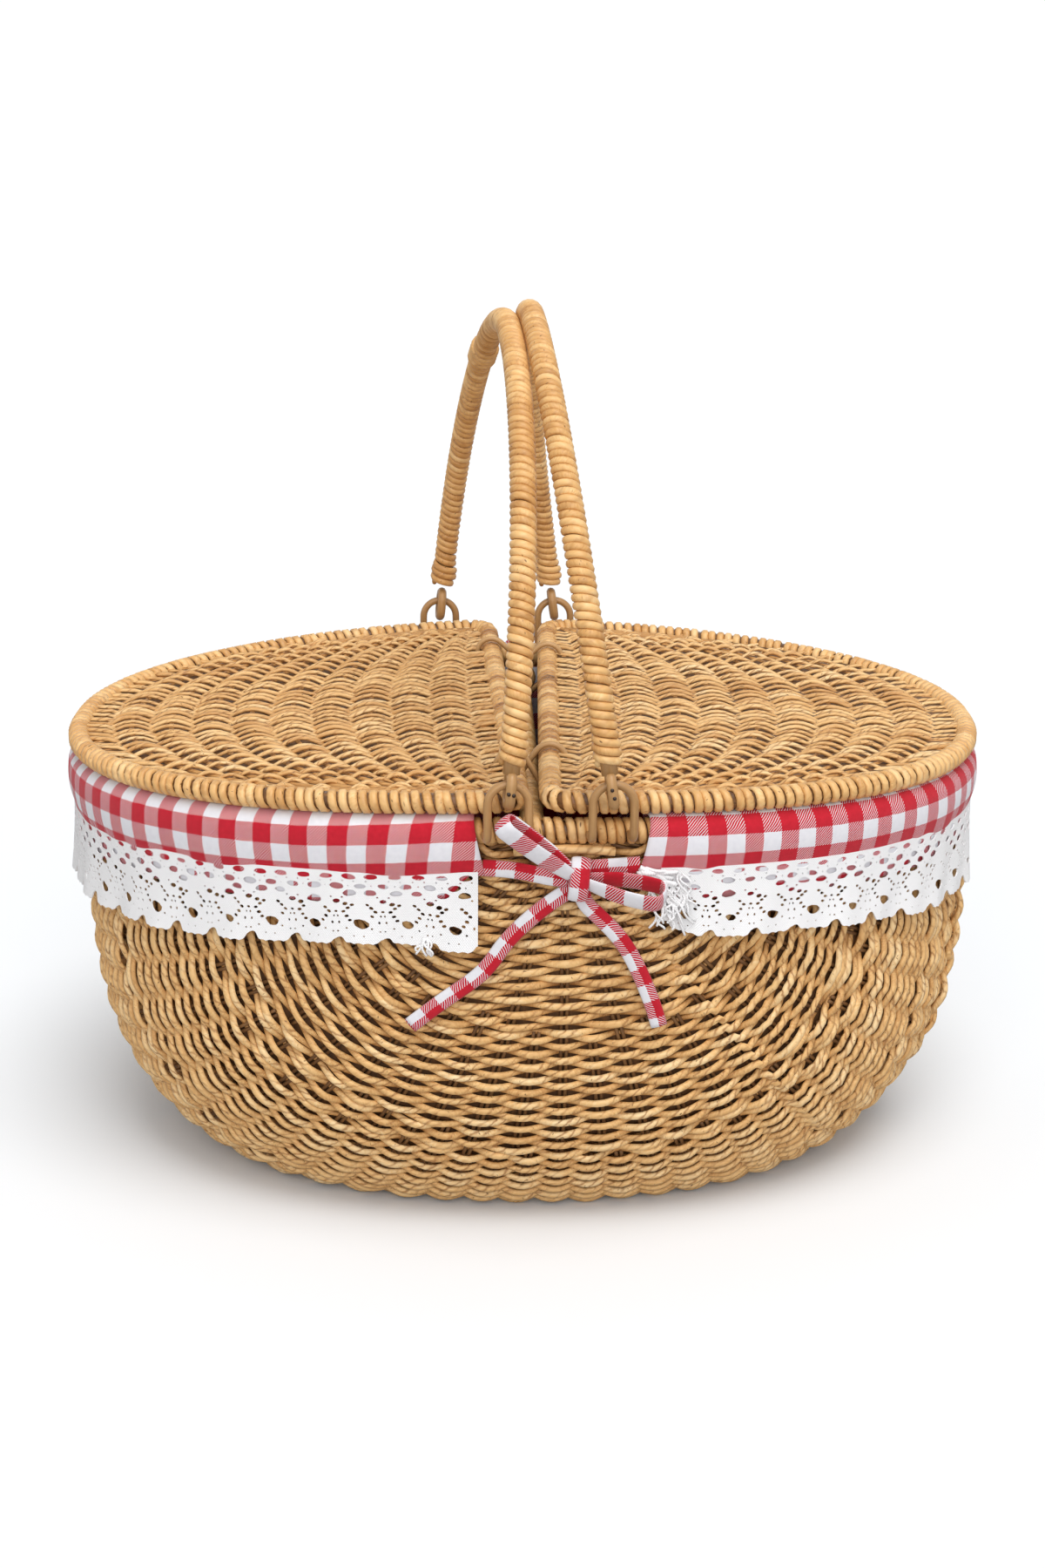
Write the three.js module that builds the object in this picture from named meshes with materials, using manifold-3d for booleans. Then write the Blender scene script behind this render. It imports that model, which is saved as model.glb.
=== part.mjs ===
// An oval willow picnic basket with two hinged lids, two swing handles and a gingham liner.
// Millimetres. X runs along the basket, -Y is its front, Z is up, and Z = 0 is the floor it stands on.
import * as THREE from "three";
import { mergeVertices } from "three/addons/utils/BufferGeometryUtils.js";
import Module from "manifold-3d";

const wasm = await Module();
wasm.setup();

// Plan and height of the basket
const LID_LENGTH = 470; // over both closed lids
const LID_DEPTH = 344;
const PLAN_POWER = 2.17; // 2 makes an ellipse, more a squarer oval
const RIM_HEIGHT = 213; // floor to the middle of the rim hoop
const RIM_DROOP = 0.045; // fall of rim and lids towards the ends, per millimetre of length
const DROOP_BEND = 40; // length over which the fall begins
const FIT = 0.3; // clearance between pieces that touch
const CLOTH_FIT = 0.6; // clearance of cloth to what it lies on
const TAIL_FIT = 0.9; // clearance of the bow's tails to the wall that they lie on

// Woven body
const WALL = 7;
const BASE_SHARE = 0.73; // flat base, as a share of the rim's plan
const WALL_RISE = 3.96; // how soon the wall turns upright
const WALL_BULGE = 1.24; // how round it leaves the base
const LEVEL_CROWD = 1.8; // how closely the rings crowd towards the base, where the wall turns
const RIBS = 11; // fanning out from a pole at the front of the rim, and from one at the back
const RIB_FAN = 14.6; // degrees from one rib to the next
const RIB_POLE = 20; // X of the front pole
const RIB_RELIEF = 2; // crest of a rib above the wall between the ribs
const RIB_HALF = 10; // half the width of a rib, at most
const RIB_SHARE = 0.42; // half the width of a rib, as a share of their spacing
const RIB_CLOSE = 12; // spacing at which the ribs are lost in the weave
const RIB_END = 3; // lower end above the floor

// Rods and canes
const HOOP_ROD = 13;
const LID_ROD = 12;
const BAR_ROD = 12;
const LID_OVERHANG = 9; // lid edge beyond the middle of the hoop
const LOOP_CANE = 3; // hinge loops

// Where the hinge rods and the centre bar cross the mouth: X at the front and at the back rim
const LEFT_HINGE = { front: -1.5, back: -21 };
const RIGHT_HINGE = { front: 13, back: 14 };
const CENTRE_BAR = { front: 5, back: -3.5 };

// Lids
const LID_CORNER = 13; // rounding of the frame's corners
const PANEL = 3; // woven panel between its ribs
const PANEL_LIFT = 1; // middle of the panel above the middle of the frame
const PANEL_RIBS = 9; // bent like the frame, at even spaces from its straight side to its curved one
const PANEL_RELIEF = 2.2; // crest of a rib above the panel
const PANEL_END = 2; // front and back ends of the panel inside the frame's curve
const LEFT_LOOP_SHARE = 0.64; // hinge loops, out from the middle of the bar, as a share of half its length
const RIGHT_LOOP_SHARE = 0.57;
const NOTCH_SIDE = 0.8; // room beside a hinge loop in the panel

// Handles and the staples they swing on
const STAPLE_ROD = 4;
const STAPLE_BEND = 9.5; // radius of the arch
const STAPLE_FOOT = 10.3; // foot below the middle of the hoop
const PIVOT_RISE = 3.5; // handle axis above the lid rods
const EYE_ROD = 5;
const EYE_PLAY = 0.6; // clearance of the eye round the staple
const EYE_SLACK = 4.5; // length of the eye's straight sides
const EYE_CLEAR = 1.5; // eye to lid edge
const HANDLE_ROD = 8;
const HANDLE_POWER = 1.8; // squareness of the arch
const HANDLE_GRIP = 13; // diameter over the winding
const WRAP_GAP = 0.9; // between turns of the winding
const WRAP_SHOULDER = 0.6; // height of a turn's shoulders, as a share of its crown
const WRAP_TURNS = { front: 18, back: 8 };
// Feet from the middle of the basket, rise from the axis to the middle of the rod at the top of the arch,
// and how far the top leans towards the other handle
const HANDLES = {
  left: { front: -6.5, back: -48.5, rise: 195.3, lean: 19.2 },
  right: { front: 41.5, back: 18.5, rise: 200.7, lean: 25.9 },
};

// Cloth
const CLOTH = 1.3;
const LINER_CLOTH = 1.2;
const CUFF_DROP = 17; // lower edge below the middle of the hoop
const CUFF_TUCK = 2.4; // how far the lower edge comes in
const CUFF_ENDS = { left: { front: -22.5, back: -66 }, right: { front: 59.5, back: 33 } }; // from the middle
const LACE_DROP = 36;
const LACE_CLOTH = 1;
const LACE_WAVE = 1.1; // how far the lace's folds stand out
const LACE_FOLD = 2.5; // length of a fold in scallops
const LACE_SCALLOP = 22;
const LACE_POINT = 3; // depth of a scallop
const TIE_WIDTH = 7.5;
const TIE_CLOTH = 1.4;
const KNOT = { x: 26, drop: 20.5, width: 11, depth: 9, height: 18 }; // drops are from the middle of the hoop
const KNOT_OUT = 3; // knot in front of the wall
const TIE_BEHIND = 3.2; // ties end this far behind the middle of the knot
const LEFT_LOOP = { x: -9, drop: -10, out: 15 };
const RIGHT_LOOP = { x: 64, drop: 25, out: 7 };
const BOW_OPEN = 3; // half the opening of a bow loop
const BOW_CLOSED = 0.35; // share of that at the knot
const TAIL_START = 0.08; // where a tail leaves the knot, as a share of its length
const LEFT_TAIL = { x: -52, drop: 95 };
const RIGHT_TAIL = { x: 64, drop: 95 };

// Sizes that follow from those above
const lidHalf = [LID_LENGTH / 2, LID_DEPTH / 2];
const hoopHalf = lidHalf.map((half) => half - LID_OVERHANG);
const bodyHalf = hoopHalf.map((half) => half + WALL / 2);
const bodyTop = RIM_HEIGHT - HOOP_ROD / 2 - FIT;
const cuffInside = HOOP_ROD / 2 + CLOTH_FIT;
const cuffHem = cuffInside + CLOTH / 2 - CUFF_TUCK; // middle of the cuff's lower edge, out from the hoop
const lidMiddle = RIM_HEIGHT + cuffInside + CLOTH + FIT + LID_ROD / 2;
const pivotHeight = lidMiddle + PIVOT_RISE;
const eyeOffset = STAPLE_ROD / 2 + EYE_PLAY + EYE_ROD / 2;
const stapleOut = lidHalf[1] + EYE_CLEAR + eyeOffset + EYE_ROD / 2;
const handleSkew = ({ front, back }) => Math.atan2(front - back, 2 * stapleOut);
const knotHeight = RIM_HEIGHT - KNOT.drop;
const loopReach = { left: LEFT_LOOP_SHARE * lidHalf[1], right: RIGHT_LOOP_SHARE * lidHalf[1] };

// Willow, cane and cloth colours
const WILLOW = { color: 0xc89556, roughness: 0.62, metalness: 0 };
const WRAPPED_CANE = { color: 0xcf9a54, roughness: 0.5, metalness: 0 };
const BARE_CANE = { color: 0x8f6a3a, roughness: 0.45, metalness: 0 };
const GINGHAM = { color: 0xd8435a, roughness: 0.9, metalness: 0 };
const COTTON = { color: 0xf3f1ee, roughness: 0.95, metalness: 0 };

const point = (x, y, z) => new THREE.Vector3(x, y, z);

// The oval plan at an angle about Z, and its half depth and angle at a given X.
function plan([halfX, halfY], angle) {
  const [c, s] = [Math.cos(angle), Math.sin(angle)];
  const along = (value) => Math.sign(value) * Math.abs(value) ** (2 / PLAN_POWER);
  return [halfX * along(c), halfY * along(s)];
}
const planDepth = ([halfX, halfY], x) =>
  halfY * (1 - Math.abs(x / halfX) ** PLAN_POWER) ** (1 / PLAN_POWER);
const planAngle = ([halfX], x) =>
  Math.acos(Math.sign(x) * Math.abs(x / halfX) ** (PLAN_POWER / 2));
const grown = (half, by) => half.map((value) => value + by);

// How far the rim and the lids fall at X.
const droop = (x) => RIM_DROOP * (Math.hypot(x, DROOP_BEND) - DROOP_BEND);

// X of a line across the mouth at Y.
const crossing = (line, y) =>
  (line.front + line.back) / 2 + ((line.back - line.front) / 2) * (y / lidHalf[1]);

// The body's plan as a share of the rim's, by height from its base (0) to its top (1).
const wallShare = (height) =>
  BASE_SHARE + (1 - BASE_SHARE) * (1 - (1 - height) ** WALL_RISE) ** (1 / WALL_BULGE);

// The front wall's distance from the middle of the basket at X and Z.
function wallDepth(x, z) {
  const share = wallShare(Math.min(1, z / bodyTop));
  return planDepth(bodyHalf.map((half) => half * share), x);
}

function mesh(name, geometry, look) {
  const made = new THREE.Mesh(geometry, new THREE.MeshStandardMaterial(look));
  made.name = name;
  return made;
}

// A closed surface through rings of as many points, each running anticlockwise about the way it travels.
// An open one is capped at both ends by a strip of triangles across the ring.
function skin(rings, closed = false) {
  const count = rings[0].length;
  const index = [];
  const at = (ring, k) => (ring % rings.length) * count + (k % count);
  for (let ring = 0; ring < rings.length - (closed ? 0 : 1); ring++)
    for (let k = 0; k < count; k++) {
      index.push(at(ring, k), at(ring, k + 1), at(ring + 1, k + 1));
      index.push(at(ring, k), at(ring + 1, k + 1), at(ring + 1, k));
    }
  const cap = (ring, turned) => {
    const add = (a, b, c) =>
      index.push(at(ring, a), at(ring, turned ? c : b), at(ring, turned ? b : c));
    for (let low = 0, high = count - 1; high - low > 1; ) {
      add(low, low + 1, high);
      low += 1;
      if (high - low > 1) {
        add(low, high - 1, high);
        high -= 1;
      }
    }
  };
  if (!closed) {
    cap(0, true);
    cap(rings.length - 1, false);
  }
  return new THREE.BufferGeometry().setFromPoints(rings.flat()).setIndex(index);
}

// Direction of travel at each point of a path.
function headings(path, closed) {
  const last = path.length - 1;
  return path.map((_, i) => {
    const before = path[i > 0 ? i - 1 : closed ? last : 0];
    const after = path[i < last ? i + 1 : closed ? 0 : last];
    return after.clone().sub(before).normalize();
  });
}

// A flat or round section carried along a path; side gives the section's first axis at each point.
function carry(path, section, side, closed = false) {
  const travel = headings(path, closed);
  return skin(
    path.map((centre, i) => {
      const first = side(i).clone();
      first.addScaledVector(travel[i], -first.dot(travel[i])).normalize();
      const second = travel[i].clone().cross(first);
      return section.map(([a, b]) =>
        centre.clone().addScaledVector(first, a).addScaledVector(second, b),
      );
    }),
    closed,
  );
}

const circle = (radius, sides) =>
  Array.from({ length: sides }, (_, k) => {
    const angle = (2 * Math.PI * k) / sides;
    return [radius * Math.cos(angle), radius * Math.sin(angle)];
  });
const strip = (width, thick) => [
  [-width / 2, -thick / 2],
  [width / 2, -thick / 2],
  [width / 2, thick / 2],
  [-width / 2, thick / 2],
];

// A round rod along a path that lies near a plane with the given normal.
const rod = (path, diameter, sides, normal, closed = false) =>
  carry(path, circle(diameter / 2, sides), () => normal, closed);

const UP = point(0, 0, 1);
const ACROSS = point(1, 0, 0);
const ALONG_BAR = point(0, 1, 0);

// Joining and cutting
function solid(geometry, place = new THREE.Matrix4()) {
  const bare = geometry.clone().applyMatrix4(place);
  bare.deleteAttribute("normal");
  bare.deleteAttribute("uv");
  const merged = mergeVertices(bare, 1e-4);
  return new wasm.Manifold(
    new wasm.Mesh({
      numProp: 3,
      vertProperties: new Float32Array(merged.attributes.position.array),
      triVerts: new Uint32Array(merged.index.array),
    }),
  );
}
function geometryOf(made) {
  const { vertProperties, triVerts } = made.getMesh();
  return new THREE.BufferGeometry()
    .setAttribute("position", new THREE.BufferAttribute(vertProperties, 3))
    .setIndex(new THREE.BufferAttribute(triVerts, 1));
}

// Rim: a closed hoop on the oval plan, which has a bend at each end of the cuffs laid over it
const hoopSteps = 48;
const round = 2 * Math.PI;
const hair = 1e-6; // radians
const cuffSpans = {
  left: [planAngle(hoopHalf, CUFF_ENDS.left.back), round - planAngle(hoopHalf, CUFF_ENDS.left.front)],
  right: [round - planAngle(hoopHalf, CUFF_ENDS.right.front), round + planAngle(hoopHalf, CUFF_ENDS.right.back)],
};
function hoopAngles() {
  const step = round / hoopSteps;
  const ends = Object.values(cuffSpans).flatMap((span) => span.map((angle) => angle % round));
  const even = Array.from({ length: hoopSteps }, (_, k) => k * step);
  const clear = even.filter((angle) => ends.every((end) => Math.abs(end - angle) > step / 4));
  return [...clear, ...ends].sort((one, other) => one - other);
}
function rimPoint(angle, out, up) {
  const [x, y] = plan(grown(hoopHalf, out), angle);
  return point(x, y, RIM_HEIGHT + up - droop(x));
}
const rimHoop = () => rod(hoopAngles().map((angle) => rimPoint(angle, 0, 0)), HOOP_ROD, 8, UP, true);

// A bowl of even wall inside the body's outer shape: outside from the base up, over the edge and down again.
// Its floor can have a thickness of its own.
function bowl({ inset, wall, floor, top, thick = wall }) {
  const levels = 8;
  const around = 36;
  const ring = (height, from, base) => {
    const half = bodyHalf.map((value) => value * wallShare(height) - from);
    const z = base + height * (top - base);
    return Array.from({ length: around }, (_, k) => {
      const [x, y] = plan(half, (2 * Math.PI * k) / around);
      return point(x, y, z - droop(x) * (z / RIM_HEIGHT));
    });
  };
  const heights = Array.from({ length: levels }, (_, k) => (k / (levels - 1)) ** LEVEL_CROWD);
  const outside = heights.map((height) => ring(height, inset, floor));
  const inside = heights.map((height) => ring(height, inset + wall, floor + thick));
  outside[0].forEach((corner) => (corner.z = floor));
  inside[0].forEach((corner) => (corner.z = floor + thick));
  return skin([...outside, ...inside.reverse()]);
}

// Staples: a half-round arch on two legs, whose feet turn in under the hoop and end in the wall.
// Each stands square to the axis of its handle, in its own frame: X across it, Y inwards from its plane.
const footHeight = RIM_HEIGHT - STAPLE_FOOT;
const footReach = (x) => stapleOut - planDepth(bodyHalf, Math.abs(x) + STAPLE_BEND) + WALL / 2;
function staple(x) {
  const leg = (side) => [
    point(side * STAPLE_BEND, footReach(x), footHeight),
    point(side * STAPLE_BEND, footReach(x) - WALL, footHeight),
    point(side * STAPLE_BEND, STAPLE_ROD, footHeight + STAPLE_ROD),
    point(side * STAPLE_BEND, 0, footHeight + 3 * STAPLE_ROD),
  ];
  const bends = 8;
  const arch = Array.from({ length: bends + 1 }, (_, k) => {
    const angle = Math.PI * (1 - k / bends);
    return point(STAPLE_BEND * Math.cos(angle), 0, pivotHeight + STAPLE_BEND * Math.sin(angle));
  });
  const route = [...leg(-1), ...arch, ...leg(1).reverse()];
  const extrudePath = new THREE.CatmullRomCurve3(route, false, "centripetal");
  const section = new THREE.Shape(circle(STAPLE_ROD / 2, 6).map(([a, b]) => new THREE.Vector2(a, b)));
  return new THREE.ExtrudeGeometry(section, { steps: 24, extrudePath, bevelEnabled: false });
}
const stapleSeats = Object.entries(HANDLES).flatMap(([name, feet]) => [
  { name: `front_${name}_staple`, x: feet.front, turn: 0, skew: handleSkew(feet) },
  { name: `back_${name}_staple`, x: -feet.back, turn: Math.PI, skew: handleSkew(feet) },
]);
const stapleMatrix = ({ x, turn, skew }) =>
  new THREE.Matrix4()
    .makeRotationZ(turn)
    .multiply(new THREE.Matrix4().makeTranslation(x, -stapleOut, 0))
    .multiply(new THREE.Matrix4().makeRotationZ(skew));

// How full the body's outer shape is at a point: below 1 inside it, 1 on it.
function fullness({ x, y, z }) {
  const height = z / (bodyTop * (1 - droop(x) / RIM_HEIGHT));
  const share = wallShare(THREE.MathUtils.clamp(height, 0, 1));
  const [across, deep] = [x, y].map((value, k) => Math.abs(value / (bodyHalf[k] * share)) ** PLAN_POWER);
  return { across, deep, depth: bodyHalf[1] * share };
}
function outwards(at) {
  const step = 0.1;
  const full = (x, y, z) => {
    const { across, deep } = fullness(at.clone().add(point(x, y, z)));
    return across + deep;
  };
  const slope = (x, y, z) => full(x, y, z) - full(-x, -y, -z);
  return point(slope(step, 0, 0), slope(0, step, 0), slope(0, 0, step)).normalize();
}

// A rib's path from the front pole down the wall to the floor, or round the end as far as Y = 0
const poleX = (y) => (-RIB_POLE * y) / bodyHalf[1];
function ribPoint(turn, reach) {
  const at = point(0, -bodyHalf[1], RIM_HEIGHT - reach * Math.cos(turn));
  const rounds = 8;
  for (let round = 0; round < rounds; round++) {
    at.x = poleX(at.y) + reach * Math.sin(turn);
    const { across, depth } = fullness(at);
    at.y = -depth * Math.max(0, 1 - across) ** (1 / PLAN_POWER);
  }
  return at;
}
function ribPath(turn) {
  const first = RIB_CLOSE / THREE.MathUtils.degToRad(RIB_FAN);
  let last = Math.min((RIM_HEIGHT - RIB_END) / Math.cos(turn), LID_LENGTH);
  const halvings = 40;
  for (let low = first, k = 0; ribPoint(turn, last).y === 0 && k < halvings; k++) {
    const middle = (low + last) / 2;
    if (ribPoint(turn, middle).y < 0) low = middle;
    else last = middle;
  }
  const steps = 8;
  return Array.from({ length: steps + 1 }, (_, k) =>
    ribPoint(turn, first + (last - first) * (1 - (1 - k / steps) ** 2)),
  );
}
function ribRidge(path) {
  const travel = headings(path, false);
  const foot = -2 * RIB_RELIEF;
  const shoulder = -0.35 * RIB_RELIEF;
  return skin(
    path.map((at, i) => {
      const away = outwards(at);
      const across = away.clone().cross(travel[i]).normalize();
      const spacing = Math.hypot(at.x - poleX(at.y), at.z - RIM_HEIGHT) * THREE.MathUtils.degToRad(RIB_FAN);
      const half = Math.min(RIB_HALF, RIB_SHARE * spacing);
      return [
        [-half, foot],
        [half, foot],
        [half / 2, shoulder],
        [0, 0],
        [-half / 2, shoulder],
      ].map(([a, b]) => at.clone().addScaledVector(across, a).addScaledVector(away, b));
    }),
  );
}
function ribRidges() {
  const fan = Array.from({ length: RIBS }, (_, k) =>
    THREE.MathUtils.degToRad(RIB_FAN * (k - (RIBS - 1) / 2)),
  );
  return fan.flatMap((turn) => {
    const front = ribPath(turn);
    const back = ribPath(-turn).map(({ x, y, z }) => point(-x, -y, z)).reverse();
    const whole = front[front.length - 1].distanceTo(back[0]) < RIB_END;
    const paths = whole ? [[...front, ...back.slice(1)]] : [front, back];
    return paths.map((path) => solid(ribRidge(path)));
  });
}

// The body, with its ribs and a notch in its upper edge for each staple foot
function bodyWeave() {
  const shell = { inset: RIB_RELIEF, wall: WALL - RIB_RELIEF, floor: 0, thick: WALL, top: bodyTop };
  let made = solid(bowl(shell));
  for (const ridge of ribRidges()) made = made.add(ridge);
  const width = STAPLE_ROD + 2 * FIT;
  const notch = new THREE.BoxGeometry(width, 4 * WALL, HOOP_ROD);
  const middle = footHeight + (HOOP_ROD - width) / 2;
  for (const seat of stapleSeats)
    for (const leg of [-1, 1]) {
      const place = new THREE.Matrix4().makeTranslation(leg * STAPLE_BEND, footReach(seat.x), middle);
      made = made.subtract(solid(notch, place.premultiply(stapleMatrix(seat))));
    }
  return geometryOf(made);
}

// Centre bar, from the front of the hoop to the back
function centreBar() {
  const reach = hoopHalf[1] - HOOP_ROD / 2 - FIT;
  const ends = [-reach, reach].map((y) => point(crossing(CENTRE_BAR, y), y, RIM_HEIGHT));
  return rod(ends, BAR_ROD, 10, ACROSS);
}

// Lids: a D-shaped frame of one bent rod, and a woven panel inside it
function lidOutline(side, inset, curveSteps) {
  const half = grown(lidHalf, -inset);
  const hinge = side < 0 ? LEFT_HINGE : RIGHT_HINGE;
  const edge = (y) => crossing(hinge, y) + side * (inset - LID_ROD / 2);
  const corner = (end) => {
    const y = end * planDepth(half, edge(end * half[1]));
    return { x: edge(y), y };
  };
  const [front, back] = [corner(-1), corner(1)];
  const straight = (at, end) => {
    const y = at.y - end * LID_CORNER;
    return { x: edge(y), y };
  };
  const curved = (at, end) => {
    const x = at.x + side * LID_CORNER;
    return { x, y: end * planDepth(half, x) };
  };
  const bend = (from, at, to) =>
    [0, 0.25, 0.5, 0.75, 1].map((t) => ({
      x: (1 - t) ** 2 * from.x + 2 * t * (1 - t) * at.x + t ** 2 * to.x,
      y: (1 - t) ** 2 * from.y + 2 * t * (1 - t) * at.y + t ** 2 * to.y,
    }));
  const start = planAngle(half, curved(back, 1).x);
  const stop = 2 * Math.PI - planAngle(half, curved(front, -1).x);
  const [from, to] = side < 0 ? [start, stop] : [start, stop - 2 * Math.PI];
  const sweep = Array.from({ length: curveSteps - 1 }, (_, k) => {
    const [x, y] = plan(half, from + ((to - from) * (k + 1)) / curveSteps);
    return { x, y };
  });
  const outline = [
    ...bend(straight(back, 1), back, curved(back, 1)),
    ...sweep,
    ...bend(curved(front, -1), front, straight(front, -1)),
  ];
  return side < 0 ? outline : outline.reverse();
}
function lidFrame(side) {
  const path = lidOutline(side, LID_ROD / 2, 26).map(({ x, y }) => point(x, y, lidMiddle - droop(x)));
  return rod(path, LID_ROD, 8, UP, true);
}
// The panel, in sections from front to back: each runs over the ribs and back under them.
function lidWeave(side) {
  const hinge = side < 0 ? LEFT_HINGE : RIGHT_HINGE;
  const inset = LID_ROD + FIT;
  const [halfX, halfY] = grown(lidHalf, -inset);
  const end = halfY - PANEL_END;
  const nearEdge = (y) => {
    const turned = THREE.MathUtils.clamp(1 + (Math.abs(y) - end) / LID_CORNER, 0, 1);
    const rounding = LID_CORNER * (1 - Math.sqrt(1 - turned ** 2));
    return crossing(hinge, y) + side * (inset - LID_ROD / 2 + rounding);
  };
  const farEdge = (y) => side * planDepth([halfY, halfX], y);
  const columns = 2 * (PANEL_RIBS + 1);
  const section = (y) => {
    const over = Array.from({ length: columns + 1 }, (_, k) => {
      const x = THREE.MathUtils.lerp(nearEdge(y), farEdge(y), k / columns);
      const isRib = k % 2 === 0 && k > 0 && k < columns;
      return { x, half: PANEL / 2 + (isRib ? PANEL_RELIEF : 0) };
    });
    if (side < 0) over.reverse();
    const at = ({ x, half }, up) => point(x, y, lidMiddle + PANEL_LIFT - droop(x) + up * half);
    return [...over.map((place) => at(place, 1)), ...over.toReversed().map((place) => at(place, -1))];
  };
  const steps = 22;
  const rows = Array.from({ length: steps + 1 }, (_, k) => end * Math.sin(Math.PI * (k / steps - 0.5)));
  let made = solid(skin(rows.map(section)));
  const reach = LID_ROD / 2 + 2 * FIT + LOOP_CANE + NOTCH_SIDE;
  const notch = new THREE.BoxGeometry(2 * reach, LOOP_CANE + 2 * NOTCH_SIDE, 4 * PANEL);
  const loopAt = side < 0 ? loopReach.left : loopReach.right;
  for (const y of [-loopAt, loopAt]) {
    const place = new THREE.Matrix4().makeTranslation(crossing(hinge, y), y, lidMiddle);
    made = made.subtract(solid(notch, place));
  }
  return geometryOf(made);
}

// A hinge loop: cane round the centre bar and a lid's hinge rod
function hingeLoop(side, y) {
  const hinge = side < 0 ? LEFT_HINGE : RIGHT_HINGE;
  const lid = point(crossing(hinge, y), y, lidMiddle);
  const bar = point(crossing(CENTRE_BAR, y), y, RIM_HEIGHT);
  const radius = LID_ROD / 2 + FIT + LOOP_CANE / 2;
  const towards = Math.atan2(lid.z - bar.z, lid.x - bar.x);
  const bends = 8;
  const half = (centre, heading) =>
    Array.from({ length: bends + 1 }, (_, k) => {
      const angle = heading + Math.PI / 2 - (Math.PI * k) / bends;
      return point(centre.x + radius * Math.cos(angle), y, centre.z + radius * Math.sin(angle));
    });
  const path = [...half(lid, towards), ...half(bar, towards + Math.PI)];
  return rod(path, LOOP_CANE, 6, ALONG_BAR, true);
}

// Handles, in their own plane: Y along the axis through the two eyes, Z away from it
const eyeMiddle = STAPLE_BEND - EYE_SLACK / 2;
const archFoot = STAPLE_BEND + eyeOffset; // where the rod leaves its eye
const eyeReach = (feet) => stapleOut / Math.cos(handleSkew(feet)); // from the middle of the axis to each eye
function handleArch(shape) {
  const along = (value) => Math.sign(value) * Math.abs(value) ** (2 / HANDLE_POWER);
  const reach = eyeReach(shape);
  const steps = 240;
  const line = Array.from({ length: steps + 1 }, (_, k) => {
    const angle = (Math.PI * k) / steps;
    const rise = (shape.rise - archFoot) * along(Math.sin(angle));
    return point(0, -reach * along(Math.cos(angle)), archFoot + rise);
  });
  const arch = new THREE.CatmullRomCurve3(line, false, "centripetal");
  arch.arcLengthDivisions = 4 * steps;
  return arch;
}

function handleCore(arch, reach) {
  const steps = 36;
  const path = Array.from({ length: steps + 1 }, (_, k) => arch.getPointAt(k / steps));
  let made = solid(rod(path, HANDLE_ROD, 8, ACROSS));
  for (const end of [-1, 1]) {
    const bends = 16;
    const ring = Array.from({ length: bends }, (_, k) => {
      const angle = (2 * Math.PI * (k + 0.5)) / bends;
      const lift = (Math.sign(Math.sin(angle)) * EYE_SLACK) / 2;
      return point(
        0,
        end * reach + eyeOffset * Math.cos(angle),
        eyeMiddle + lift + eyeOffset * Math.sin(angle),
      );
    });
    made = made.add(solid(rod(ring, EYE_ROD, 6, ACROSS, true)));
  }
  return geometryOf(made);
}

// One winding: a cane strip that turns round the rod from one place along the arch to another
function winding(arch, from, to, turns) {
  const stepsPerTurn = 8;
  const pitch = (to - from) / turns;
  const inner = (HANDLE_ROD / 2 + FIT) / Math.cos(Math.PI / stepsPerTurn);
  const crown = HANDLE_GRIP / 2;
  const shoulder = inner + WRAP_SHOULDER * (crown - inner);
  const half = (pitch - WRAP_GAP) / 2;
  const section = [
    [-half, inner],
    [half, inner],
    [half, shoulder],
    [0, crown],
    [-half, shoulder],
  ];
  const first = from + pitch / 2;
  const last = to - pitch / 2;
  const count = Math.round(((last - first) / pitch) * stepsPerTurn);
  const rings = Array.from({ length: count + 1 }, (_, k) => {
    const place = first + ((last - first) * k) / count;
    const angle = (2 * Math.PI * k) / stepsPerTurn;
    return section.map(([along, radius]) => {
      const share = THREE.MathUtils.clamp((place + along) / arch.getLength(), 0, 1);
      const centre = arch.getPointAt(share);
      const travel = arch.getTangentAt(share);
      const outward = travel.clone().cross(ACROSS);
      return centre
        .addScaledVector(ACROSS, radius * Math.cos(angle))
        .addScaledVector(outward, radius * Math.sin(angle));
    });
  });
  return { geometry: skin(rings), gap: leastGap(rings, stepsPerTurn) };
}

// Least distance between one turn's edge points and those of the next.
function leastGap(rings, stepsPerTurn) {
  let least = Infinity;
  for (let k = 0; k + stepsPerTurn < rings.length; k++)
    for (const edge of [1, 2])
      for (const next of [0, 4])
        least = Math.min(least, rings[k][edge].distanceTo(rings[k + stepsPerTurn][next]));
  return least;
}

function handle(name, side) {
  const shape = HANDLES[name];
  const arch = handleArch(shape);
  const swing = new THREE.Group();
  swing.rotation.y = -side * Math.asin(shape.lean / shape.rise);
  const seat = new THREE.Group();
  seat.position.set((shape.front + shape.back) / 2, 0, pivotHeight);
  seat.rotation.z = handleSkew(shape);
  seat.add(swing);
  swing.add(mesh(`${name}_handle_core`, handleCore(arch, eyeReach(shape)), BARE_CANE));
  const bare = eyeOffset / 2 + FIT;
  const wrapped = arch.getLength() - 2 * bare;
  const join = bare + (wrapped * WRAP_TURNS.front) / (WRAP_TURNS.front + WRAP_TURNS.back);
  const front = winding(arch, bare, join, WRAP_TURNS.front);
  const back = winding(arch, join, arch.getLength() - bare, WRAP_TURNS.back);
  swing.add(mesh(`${name}_handle_front_wrap`, front.geometry, WRAPPED_CANE));
  swing.add(mesh(`${name}_handle_back_wrap`, back.geometry, WRAPPED_CANE));
  const gap = Math.min(front.gap, back.gap);
  console.log(`${name} handle winding, least gap between turns: ${gap.toFixed(2)} mm`);
  return seat;
}

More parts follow.
